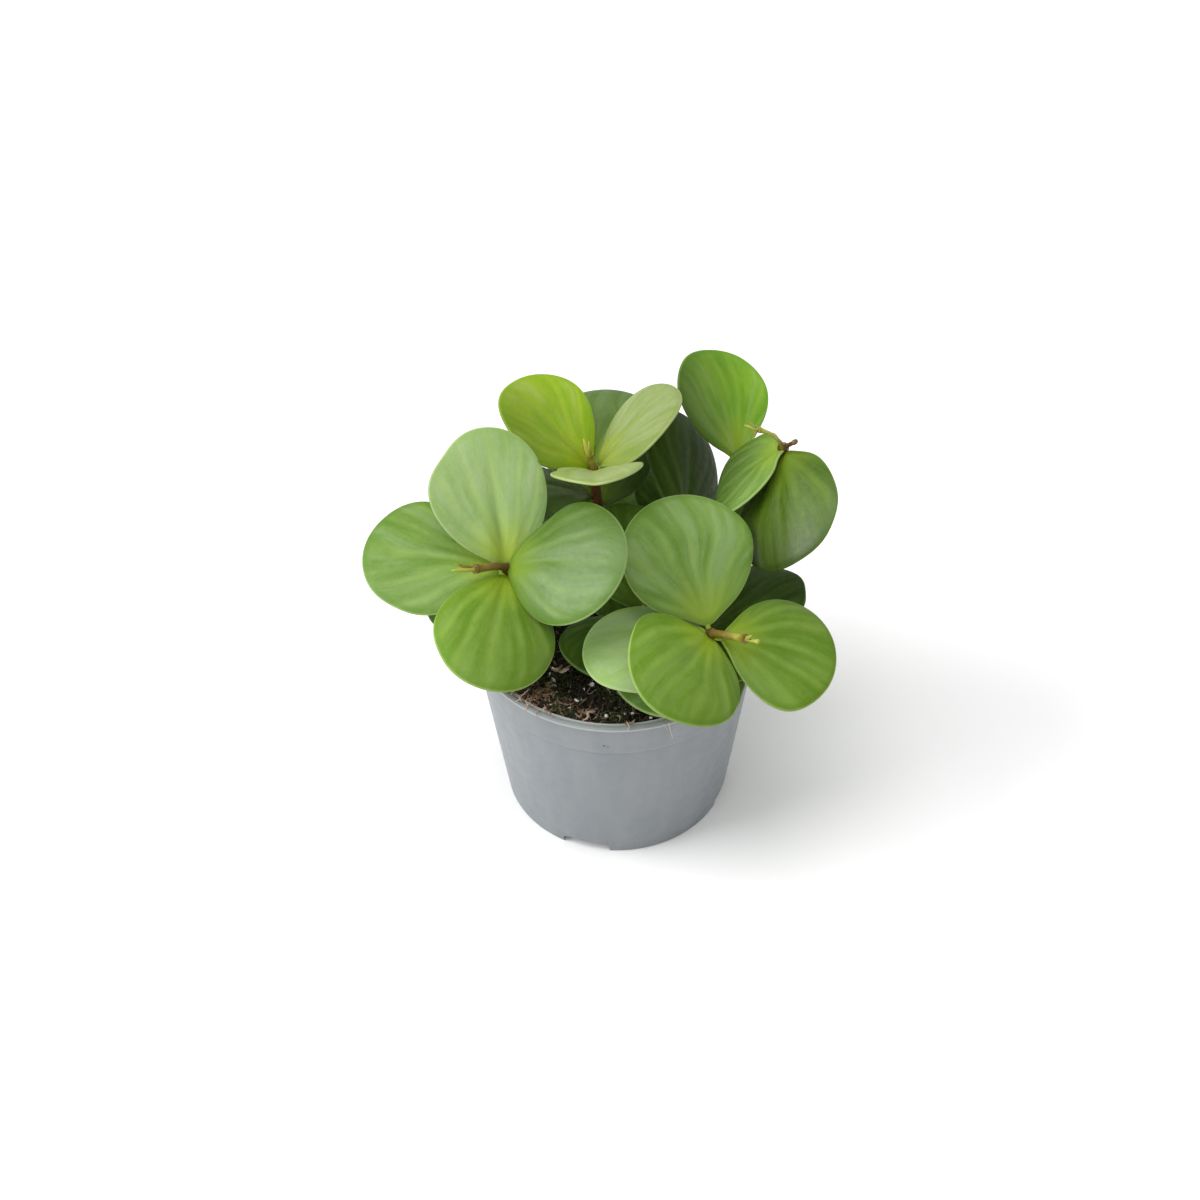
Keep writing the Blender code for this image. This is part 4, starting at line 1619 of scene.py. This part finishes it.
    def needles(self, count: int) -> list[bpy.types.Mesh]:
        """Makes small tufts of upright moss leaves a millimetre tall.

        Args:
            count: How many shapes there are.

        Returns:
            The meshes.
        """
        made = []
        for number in range(count):
            points: list[Vector] = []
            faces: Faces = []
            for blade in range(5):
                bearing = 72.0 * blade + 31.0 * number
                lean = compass(bearing, 50.0 + 8.0 * ((blade + number) % 4))
                across = compass(bearing + 90.0) * 0.11
                a, b, c, d = range(len(points), len(points) + 4)
                points += [place * MM for place in (across, -across, lean * 0.5 + UP * 0.12, lean)]
                faces += [(a, b, c), (b, d, c), (d, a, c), (a, d, b)]
            made.append(new_mesh(f"tuft_{number}", points, faces))
        return made

    def clear_the_wall(self, strewn: bpy.types.Mesh) -> None:
        """Deletes the strewn grains that would reach out through the pot's wall.

        Args:
            strewn: The mesh of all the grains.
        """
        work = bmesh.new()
        work.from_mesh(strewn)
        reaching = []
        for vertex in work.verts:
            place = (vertex.co - POT_AXIS) / MM
            skin = self.pot.wall_radius(place.z) + self.pot.step - 0.15
            if place.z < self.pot.height and place.xy.length > skin:
                reaching.append(vertex)
        doomed = set(reaching)
        while reaching:
            for edge in reaching.pop().link_edges:
                fresh = [vertex for vertex in edge.verts if vertex not in doomed]
                doomed.update(fresh)
                reaching.extend(fresh)
        bmesh.ops.delete(work, geom=list(doomed), context="VERTS")
        work.to_mesh(strewn)
        work.free()

    def build(self, tree: bpy.types.NodeTree, looks: Looks) -> None:
        """Builds the peat and what is strewn on it.

        Args:
            tree: The tree that strews grains.
            looks: The finished materials by name.
        """
        bed = self.bed()
        bed.materials.append(looks["peat"])
        settle(new_object("peat_bed", bed), "soil_peat", "soil")
        self.keep("crumbs", self.lumps("crumb", 6, 0.7))
        self.keep("chips", self.lumps("chip", 5, 0.30))
        self.keep("grit", self.lumps("perlite", 3, 0.85))
        self.keep("fibres", self.strands(8))
        self.keep("tufts", self.needles(4))
        for litter in LITTER:
            ground = self.ground(litter.name + "_ground", litter.spread)
            made = run_tree(ground, tree, litter.name, {
                "Grains": self.kinds[litter.kind],
                "Per Square Metre": litter.density / MM**2,
                "Smallest": litter.sizes[0],
                "Largest": litter.sizes[1],
                "Tilt": math.radians(litter.lean),
                "Seed": litter.seed,
                "Material": looks[litter.finish.value.name],
            })
            self.clear_the_wall(made.data)
            settle(made, "soil_peat")


@dataclass(frozen=True)
class Scrap:
    """A scrap that lies by itself on the soil or across the rim.

    Its route is in millimetres: two in plan from the pot's axis, and one up from the soil, or from the rim's
    top where it lies over the rim.
    """

    finish: Grit
    width: float
    route: tuple[Point, ...]
    flatness: float = 0.6
    sides: ClassVar[int] = 7
    step: ClassVar[float] = 0.35
    rim_width: ClassVar[float] = 3.5

    def shape(self, soil: Soil) -> Solid:
        """Builds the scrap.

        Args:
            soil: The soil that it lies on.

        Returns:
            The points in metres and the faces.
        """
        stops = []
        for x, y, up in self.route:
            ground = soil.fine_height(x * MM, y * MM)
            if math.hypot(x, y) > soil.pot.rim - self.rim_width:
                ground = soil.pot.height * MM
            stops.append(POT_AXIS + Vector((x * MM, y * MM, ground + up * MM)))
        line = smooth_route(stops, self.step * MM)
        rings = []
        for i, middle in enumerate(line):
            ahead = (line[min(i + 1, len(line) - 1)] - line[max(i - 1, 0)]).normalized()
            side = ahead.cross(UP).normalized()
            along = i / (len(line) - 1)
            size = self.width / 2 * MM * (0.30 + 0.70 * math.sin(math.pi * (0.12 + 0.76 * along)))
            size *= 1.0 + 0.6 * noise.noise(middle / MM)
            rings.append(ring(middle, side * size, side.cross(ahead) * self.flatness * size, self.sides))
        return loft(rings)


SCRAPS = (
    Scrap(Grit.HAIR, 1.3, ((-18.6, -17.2, 0.7), (-16.8, -18.4, 1.1), (-14.4, -17.2, 0.8))),
    Scrap(Grit.FIBRE, 0.6, ((-20.6, -15.8, 0.7), (-18.2, -18.6, 1.0), (-13.4, -16.0, 0.6))),
    Scrap(Grit.YOUNG_MOSS, 1.0, ((-22.4, -23.0, 0.5), (-20.8, -23.8, 1.2), (-19.6, -22.9, 0.9))),
    Scrap(Grit.HAIR, 0.8, ((-19.6, -21.2, 1.1), (-18.6, -22.8, 0.9))),
    Scrap(Grit.PERLITE, 1.4, ((-8.0, -23.1, 0.8), (-7.0, -23.6, 0.8)), 0.9),
    Scrap(Grit.PERLITE, 1.0, ((-12.8, -30.0, 0.8), (-12.2, -30.5, 0.9), (-11.5, -30.4, 0.7)), 0.8),
    Scrap(Grit.HAIR, 0.95, (
        (-10.4, -39.4, 0.5), (-8.8, -38.0, 1.2), (-8.8, -36.0, 1.5), (-6.6, -35.0, 0.9),
    )),
    Scrap(Grit.HAIR, 0.6, ((-8.8, -36.4, 1.3), (-9.4, -34.2, 0.7))),
    Scrap(Grit.YOUNG_MOSS, 0.7, ((-0.2, -36.2, 0.8), (0.9, -37.0, 1.1), (0.6, -38.6, 0.9))),
    Scrap(Grit.HAIR, 0.9, ((2.2, -35.3, 0.8), (2.8, -36.6, 0.8))),
    Scrap(Grit.PERLITE, 0.9, ((-3.6, -36.6, 0.8), (-3.0, -37.4, 0.8)), 0.9),
    Scrap(Grit.PERLITE, 0.9, ((9.6, -36.8, 0.8), (10.4, -37.0, 0.8)), 0.9),
    Scrap(Grit.BARK, 0.8, ((1.6, -41.2, 0.6), (2.8, -42.6, 0.5), (4.2, -42.6, 0.5), (5.2, -41.4, 0.6))),
    Scrap(Grit.HAIR, 0.32, ((2.6, -42.2, 0.9), (3.4, -44.2, 0.6), (3.0, -45.1, 0.0))),
    Scrap(Grit.HAIR, 0.32, (
        (-32.2, -24.4, 1.2), (-33.0, -27.0, 0.9), (-34.9, -28.6, 0.4), (-35.5, -28.6, -0.5),
    )),
    Scrap(Grit.HAIR, 0.30, (
        (-34.8, -25.2, 0.6), (-32.8, -28.8, 0.7), (-31.0, -29.4, 0.5), (-28.8, -31.6, 0.6),
    )),
    Scrap(Grit.HAIR, 0.34, (
        (-26.5, -29.5, 1.2), (-28.9, -31.9, 1.0), (-29.6, -33.0, 0.6), (-31.5, -33.2, -0.3),
    )),
    Scrap(Grit.FIBRE, 0.28, ((-27.0, -34.2, 0.6), (-27.0, -35.8, 0.1), (-27.6, -36.6, -0.6))),
    Scrap(Grit.BARK, 0.9, ((-32.0, -25.8, 0.6), (-33.8, -27.2, 0.9), (-34.8, -26.6, 0.5))),
    Scrap(Grit.BARK, 0.7, ((-29.4, -29.4, 0.6), (-31.4, -30.6, 1.0), (-32.2, -29.6, 0.6))),
    Scrap(Grit.BARK, 0.8, ((-27.4, -31.4, 0.6), (-28.8, -32.8, 0.9), (-27.8, -33.8, 0.5))),
    Scrap(Grit.BARK, 0.8, ((-23.8, -33.8, 0.6), (-25.2, -35.2, 1.0), (-24.2, -36.4, 0.5))),
    Scrap(Grit.BARK, 0.6, ((-20.2, -36.2, 0.5), (-21.8, -37.2, 0.9), (-20.8, -38.4, 0.5))),
    Scrap(Grit.FIBRE, 0.3, ((-32.5, -22.0, 0.7), (-35.0, -24.2, 1.1), (-35.0, -26.6, 0.5))),
    Scrap(Grit.FIBRE, 0.3, ((-24.0, -31.0, 0.7), (-27.2, -33.2, 1.1), (-26.4, -35.8, 0.5))),
    Scrap(Grit.FIBRE, 0.3, ((-17.0, -36.0, 0.7), (-20.0, -38.0, 1.0), (-19.0, -40.2, 0.5))),
)


@dataclass
class StraySpecks:
    """Root hairs that hang over the rim, and two specks of peat that stick to the rim band.

    A hair has its finish, its bearing, how far it hangs and its thickness. A speck has its bearing, its
    height and its size. Sizes are millimetres.
    """

    pot: Pot
    hairs: tuple[tuple[Grit, float, float, float], ...] = (
        (Grit.HAIR, 289.5, 7.0, 0.14),
        (Grit.HAIR, 287.5, 2.6, 0.12),
        (Grit.FIBRE, 238.0, 1.6, 0.14),
    )
    specks: tuple[Point, ...] = ((264.5, 59.5, 0.40), (266.0, 59.0, 0.30))
    crest: ClassVar[float] = 0.45

    def hair(self, bearing: float, drop: float, thick: float) -> Solid:
        """Builds a hair that rises from inside the lip, bends over it and hangs down outside.

        Args:
            bearing: Where it crosses the lip.
            drop: How far it hangs, in millimetres.
            thick: Its thickness, in millimetres.

        Returns:
            The points in metres and the faces.
        """
        out, side = compass(bearing), compass(bearing + 90.0)
        rings = []
        for i in range(11):
            along = i / 10
            radius = self.pot.rim - 3.0 + 3.6 * smooth_step(along, 0.0, self.crest) + 0.25 * along
            climb = 1.9 * math.sin(min(1.0, along / self.crest) * math.pi / 2) - 1.2
            fall = drop * max(0.0, along - 0.4) * 1.7
            swing = 0.6 * along**2 - 0.5 * along * math.sin(5 * along)
            middle = out * radius + side * swing + UP * (self.pot.height + climb - fall)
            size = thick * (1.0 - 0.6 * along) * MM
            rings.append(ring(POT_AXIS + middle * MM, out * size, side * size, 4))
        return loft(rings)

    def speck(self, name: str, bearing: float, height: float, size: float) -> bpy.types.Mesh:
        """Builds an uneven speck on the rim band.

        Args:
            name: The mesh's name.
            bearing: Where it sticks.
            height: Its height, in millimetres.
            size: Its size, in millimetres.

        Returns:
            The mesh.
        """
        radius = self.pot.wall_radius(height) + self.pot.step
        centre = POT_AXIS + (compass(bearing) * radius + UP * height) * MM
        work = bmesh.new()
        bmesh.ops.create_icosphere(work, subdivisions=2, radius=size / 2 * MM)
        for vertex in work.verts:
            vertex.co = centre + vertex.co * (1.0 + 0.5 * noise.noise(vertex.co / MM * 3.0))
        mesh = bpy.data.meshes.new(name)
        work.to_mesh(mesh)
        work.free()
        return mesh

    def build(self, looks: Looks) -> None:
        """Builds the hairs and the specks.

        Args:
            looks: The finished materials by name.
        """
        made = []
        for number, (finish, *sizes) in enumerate(self.hairs, 1):
            name = f"root_hair_{number}"
            made.append((name, new_mesh(name, *self.hair(*sizes)), finish))
        for number, sizes in enumerate(self.specks, 1):
            name = f"peat_speck_{number}"
            made.append((name, self.speck(name, *sizes), Grit.PEAT))
        for name, mesh, finish in made:
            mesh.materials.append(looks[finish.value.name])
            settle(new_object(name, mesh), "soil_peat")


@dataclass
class Studio:
    """The pale floor, the soft lights and the camera at the photograph's angle.

    Angles are degrees, the target is in millimetres from the pot's axis, and the rest is metres and watts.
    A lamp has its name, its place, its width and its power.
    """

    floor_half: float = 4.0
    elevation: float = 45.6
    distance: float = 0.9147
    roll: float = -0.88
    lens: float = 90.0
    sensor: float = 36.0
    clip: tuple[float, float] = (0.05, 50.0)
    target: Point = (-4.69, 0.0, 77.3)
    sky: float = 0.62
    lamps: tuple[tuple[str, Point, float, float], ...] = (
        ("side_softbox", (-1.48, -0.22, 1.25), 1.40, 28.5),
        ("top_softbox", (-0.15, -0.20, 1.70), 1.20, 11.5),
    )
    lamp_target: Point = (0.0, 0.0, 0.08)

    def camera(self) -> None:
        """Places the camera."""
        rise, tilt = math.radians(self.elevation), math.radians(self.roll)
        back = Vector((0.0, -math.cos(rise), math.sin(rise)))
        up = Vector((0.0, math.sin(rise), math.cos(rise)))
        right = Vector((1.0, 0.0, 0.0))
        across = right * math.cos(tilt) + up * math.sin(tilt)
        upward = -right * math.sin(tilt) + up * math.cos(tilt)
        data = bpy.data.cameras.new("camera")
        data.lens = self.lens
        data.sensor_width = self.sensor
        data.clip_start, data.clip_end = self.clip
        thing = new_object("camera", data)
        turn = Matrix((across, upward, back)).transposed().to_4x4()
        place = POT_AXIS + Vector(self.target) * MM + back * self.distance
        thing.matrix_world = Matrix.Translation(place) @ turn
        bpy.context.scene.camera = thing

    def build(self, looks: Looks) -> None:
        """Builds the floor and the lights, and places the camera.

        Args:
            looks: The finished materials by name.
        """
        half = self.floor_half
        mesh = bpy.data.meshes.new("floor")
        corners = [(-half, -half, 0.0), (half, -half, 0.0), (half, half, 0.0), (-half, half, 0.0)]
        mesh.from_pydata(corners, [], [(0, 1, 2, 3)])
        mesh.materials.append(looks["pale_floor"])
        floor = new_object("floor", mesh)
        for name, place, size, power in self.lamps:
            data = bpy.data.lights.new(name, "AREA")
            data.shape = "DISK"
            data.size = size
            data.energy = power
            lamp = new_object(name, data)
            lamp.location = place
            aim = Vector(self.lamp_target) - Vector(place)
            lamp.rotation_euler = aim.to_track_quat("-Z", "Y").to_euler()
        world = bpy.data.worlds.new("studio")
        world.use_nodes = True
        sky = world.node_tree.nodes["Background"]
        sky.inputs["Color"].default_value = (1.0, 1.0, 1.0, 1.0)
        sky.inputs["Strength"].default_value = self.sky
        bpy.context.scene.world = world
        bpy.context.scene.view_settings.view_transform = "Standard"
        self.camera()


# In the tables below, each leaf's lightness numbers hold painted light and shade as well as its tone: leaves
# and parts of leaves that lie in shade are darkened, and those that catch the light are lightened.
LEFT_STEM = Stem(
    name="left",
    foot=(-20, 8),
    whorls=(
        Whorl("base", (-23, 2.5, 74), (
            Leaf(196, 0, 0, 25, 28, tone=Tone.SHADED),
        )),
        Whorl("low", (-27, -5, 84), (
            Leaf(146, -14, 12, 33, 35, tone=Tone.SHADED),
            Leaf(238, -10, 0, 29, 30, tone=Tone.SHADED),
        )),
        Whorl("top", (-32, -16.5, 108), (
            # This pale leaf is darker towards its left margin: painted shade that evens out the light its
            # dome catches there.
            Leaf(102, 43, -19, 39.5, 40, 2.2, 1.4, 2.8, tone=Tone.PALE, groove=1.1, shade=0.98,
                 left_tone_and_painted_light=-0.24, corners=((46, -0.09),)),
            Leaf(168, 4, 13, 39.5, 39.5, 0.5, 2.1, 4.1, -1.0, shade=1.08, tip_tone_and_painted_light=0.97,
                 corners=((-65, 0.05), (75, -0.055))),
            # This glossy leaf is darker towards its left margin and lighter towards the other: painted shade
            # and light that follow how its surface turns to the lamp.
            Leaf(332, 30, -33, 38.5, 38.4, 0.9, 5.4, 2.2, 1.3, tone=Tone.WAXY, shade=0.96, left_tone_and_painted_light=-0.20,
                 corners=((125, -0.10), (-108, 0.04))),
            # This leaf is darker towards its left margin: painted shade where the leaf above shades it.
            Leaf(263, -3, 11, 39.5, 37, 1.3, 3.1, 3.3, -0.4, tone=Tone.LUSH, shade=0.97,
                 left_tone_and_painted_light=-0.26,
                 corners=((-60, -0.04), (25, 0.01))),
        )),
    ),
    ring=(-41, -22.5, 114),
    buds=(
        Bud((-41, -22.5, 114), (-47.5, -27, 118), 0.85, 0.85),
        Bud((-41, -22.5, 114), (-46.6, -25.2, 119), 0.6, 0.45),
    ),
    shoot_youth=(0.10, 0.50),
    shoot_radius=1.1,
)

CENTRE_STEM = Stem(
    name="centre",
    foot=(-4, 24),
    whorls=(
        Whorl("foot", (-4, 25, 72), (
            Leaf(62, 0, 0, 30, 30, tone=Tone.SHADED),
            Leaf(299, 0, 0, 26, 27, tone=Tone.SHADED),
        )),
        Whorl("base", (-4.5, 26, 79.5), (
            Leaf(150, 4, 0, 32, 32, tone=Tone.SHADED),
        )),
        Whorl("low", (-5, 26, 92.5), (
            # These two low leaves are darkened: painted shade under the top whorl.
            Leaf(88, 15, -3, 36, 35, rise=-3.0, shade=0.5),
            Leaf(194, 26, -8, 36.5, 33, rise=4.0, shade=0.42, corners=((-50, 0.10),)),
        )),
        Whorl("top", (-6, 22, 111), (
            Leaf(143.2, 33, -12, 33.3, 38.6, -2.4, 0.5, 2.9, tone=Tone.BRIGHT, left_tone_and_painted_light=-0.38,
                 shade=0.90, tip_tone_and_painted_light=0.97, corners=((22, 0.05), (72, -0.10), (110, 0.035), (-50, -0.02))),
            Leaf(27, 36, 26, 31.5, 39, -1.5, 0.5, 3.7, 0.4, tone=Tone.CREAM, shade=0.96,
                 corners=((-60, -0.03),)),
            Leaf(271, 40.8, -2, 38, 30, -0.9, 1.5, 3.0, -0.3, tone=Tone.CREAM, shade=1.16, keel=2.4,
                 corners=((-97, -0.24),)),
            Leaf(87, -5, 7, 37.5, 38, 1.0, 0.5, rise=0.8, shade=0.65, corners=((0, 0.03),)),
        )),
    ),
    ring=(-7, 22.5, 115.5),
    buds=(
        Bud((-7, 22.5, 115.5), (-9.6, 24, 119.6), 0.7, 0.5),
        Bud((-7, 22.5, 115.5), (-8.9, 24, 122.0), 1.15, 0.75),
        Bud((-7, 22.5, 115.5), (-7.3, 23.6, 121.4), 0.95, 0.6),
        Bud((-7, 22.5, 115.5), (-5.9, 22, 118.2), 0.4, 0.6),
    ),
    shoot_youth=(0.55, 0.85),
    shoot_radius=0.9,
)

FRONT_STEM = Stem(
    name="front",
    foot=(16, -12),
    whorls=(
        Whorl("base", (18.5, -15, 70.5), (
            Leaf(300, 2, 0, 25, 26, reach=3.8, shade=0.75, corners=((42, -0.13),)),
        )),
        Whorl("low", (24, -20, 78), (
            Leaf(46, 1, 17, 38, 38, reach=3.7, rise=3.2, tone=Tone.SHADED, shade=0.78,
                 corners=((45, 0.08), (80, 0.05), (-45, -0.075))),
            Leaf(227, 4, 2, 25.5, 31, rise=-2.5),
            Leaf(341, -9, 0, 17, 20, tone=Tone.SHADED, corners=((-45, -0.22),)),
        )),
        Whorl("top", (28, -31, 94), (
            Leaf(108, 30, -3, 39.4, 41, -1.4, 2.0, 4.9, tip_tone_and_painted_light=1.18,
                 corners=((118, 0.05), (-80, 0.055))),
            Leaf(248, 16, 27, 37.5, 37, -1.4, 5.4, 2.6, tone=Tone.LUSH, shade=1.12,
                 tip_tone_and_painted_light=0.88, left_tone_and_painted_light=-0.20,
                 corners=((72, 0.03), (98, -0.005), (28, -0.025), (-112, 0.13), (-145, 0.14))),
            Leaf(356, -13, -10, 33.2, 39, 1.4, 1.8, 5.2, tone=Tone.LUSH, shade=0.97, tip_tone_and_painted_light=1.1,
                 corners=((-20, 0.02), (-80, 0.03))),
            # This leaf takes the pale tone and grows much lighter towards its tip: painted light and a
            # painted pale sheen in place of the shadow that the leaf above casts on it.
            Leaf(189, -3, -4, 35.5, 39.5, 1.3, 1.8, 2.8, 0.5, tone=Tone.PALE, shade=0.72,
                 tip_tone_and_painted_light=1.75, left_tone_and_painted_light=-0.34, corners=((60, -0.05), (100, -0.04))),
        )),
    ),
    ring=(37.5, -39, 100),
    buds=(
        Bud((37.5, -39, 100), (41, -41.6, 101.5), 0.8, 0.9, True),
        Bud((37.5, -39, 100), (39, -41, 103.5), 0.7),
    ),
    shoot_youth=(0.40, 0.75),
    shoot_radius=1.15,
)

RIGHT_STEM = Stem(
    name="right",
    foot=(28, 25),
    whorls=(
        Whorl("base", (30.5, 28, 73), (
            Leaf(20, -4, 0, 24, 28, tone=Tone.SHADED),
        )),
        Whorl("low", (34, 33, 82), (
            Leaf(0, -4, 0, 28, 30, tone=Tone.SHADED),
        )),
        Whorl("mid", (39, 40, 97.5), (
            Leaf(109.8, 40, -32, 33.9, 40, -2.6, 1.9, 2.6, tone=Tone.DEEP, shade=0.94, left_tone_and_painted_light=-0.60,
                 corners=((50, -0.04), (-40, 0.04), (-82, 0.01))),
        )),
        Whorl("bend", (49.5, 33, 104)),
        Whorl("top", (51, 22, 119), (
            Leaf(188, -41, -17, 27, 35, -1.4, 1.7, 2.6, 0.8, shade=1.12,
                 corners=((20, 0.05), (-50, 0.05), (-138, 0.22), (140, 0.08))),
            # This dark glossy leaf is darker towards its tip and its right margin: painted light and shade
            # that stand in for a broad highlight higher on the leaf.
            Leaf(264, -12, -39, 37, 38, 2.5, 5.5, 2.8, -0.4, tone=Tone.DARK, shade=1.25,
                 left_tone_and_painted_light=0.30, tip_tone_and_painted_light=0.55,
                 corners=((142, 0.08), (100, -0.02), (66, -0.05), (15, -0.035))),
        )),
        Whorl("arch", (47.3, 21.6, 124.7)),
    ),
    ring=(43.3, 21, 127.4),
    buds=(
        Bud((43.3, 21, 127.4), (39.0, 21, 129.3), 0.55, 0.8),
        Bud((42.8, 21, 127.6), (41.7, 19.5, 124.8), 0.45, 0.5),
        Bud((42.8, 21, 127.6), (40.4, 21, 130.6), 0.4, 0.6),
        Bud((51, 22, 119), (54.5, 19, 124.2), 1.0, -0.15, True),
    ),
    shoot_youth=(0.60, 0.95),
    shoot_radius=0.6,
)

MIDDLE_STEM = Stem(
    name="middle",
    foot=(8, -6),
    whorls=(
        Whorl("top", (8, -10.5, 81), (
            Leaf(98, 24, -12, 35, 33, tone=Tone.SHADED, shade=1.3),
            Leaf(232, 4, -5, 25, 35, tone=Tone.SHADED),
        )),
    ),
    ring=(8, -11, 84),
    buds=(Bud((8, -11, 84), (8.3, -11.5, 86.5), 0.8),),
)

BACK_STEM = Stem(
    name="back",
    foot=(17, 18),
    whorls=(
        Whorl("low", (20, 21, 77), (
            Leaf(90, 5, -22, 30, 28, rise=1.5, tone=Tone.SHADED, corners=((30, 0.12),)),
        )),
        Whorl("top", (21.5, 21.5, 84), (
            # This dark leaf is lighter towards its left margin: a painted pale sheen.
            Leaf(85, 24, -56, 37.6, 38, tone=Tone.SHADED, shade=0.60, left_tone_and_painted_light=0.35,
                 corners=((-45, 0.05),)),
        )),
    ),
    ring=(22, 20, 88),
    buds=(Bud((22, 20, 88), (22.5, 19, 92), 0.8),),
)

STEMS = (LEFT_STEM, CENTRE_STEM, FRONT_STEM, RIGHT_STEM, MIDDLE_STEM, BACK_STEM)


def finished_materials() -> Looks:
    """Builds every material once.

    Returns:
        The materials by name.
    """
    finishes = [tone.value for tone in Tone] + [UndersideFinish(), StemFinish(), PlasticFinish()]
    finishes += [grit.value for grit in Grit]
    return {finish.name: finish.material() for finish in finishes}


def lay_scraps(soil: Soil, looks: Looks) -> None:
    """Lays the single scraps, one piece for each finish.

    Args:
        soil: The soil that they lie on.
        looks: The finished materials by name.
    """
    for finish in sorted({scrap.finish.value.name for scrap in SCRAPS}):
        points: list[Vector] = []
        faces: Faces = []
        for scrap in SCRAPS:
            if scrap.finish.value.name == finish:
                more_points, more_faces = scrap.shape(soil)
                faces += [tuple(len(points) + i for i in face) for face in more_faces]
                points += more_points
        mesh = new_mesh(f"scraps_{finish}", points, faces)
        mesh.materials.append(looks[finish])
        settle(new_object(f"scraps_{finish}", mesh), "soil_peat")


def main() -> None:
    """Builds the pot, the soil, the stems with their leaves and the studio."""
    logging.basicConfig(level=logging.INFO, format="%(message)s")
    looks = finished_materials()
    pot = Pot()
    pot.build(looks)
    soil = Soil(pot)
    soil.build(scatter_tree(), looks)
    lay_scraps(soil, looks)
    sweep = stem_tree()
    for stem in STEMS:
        stem.build(soil, sweep, looks)
    StraySpecks(pot).build(looks)
    Studio().build(looks)


if __name__ == "__main__":
    main()
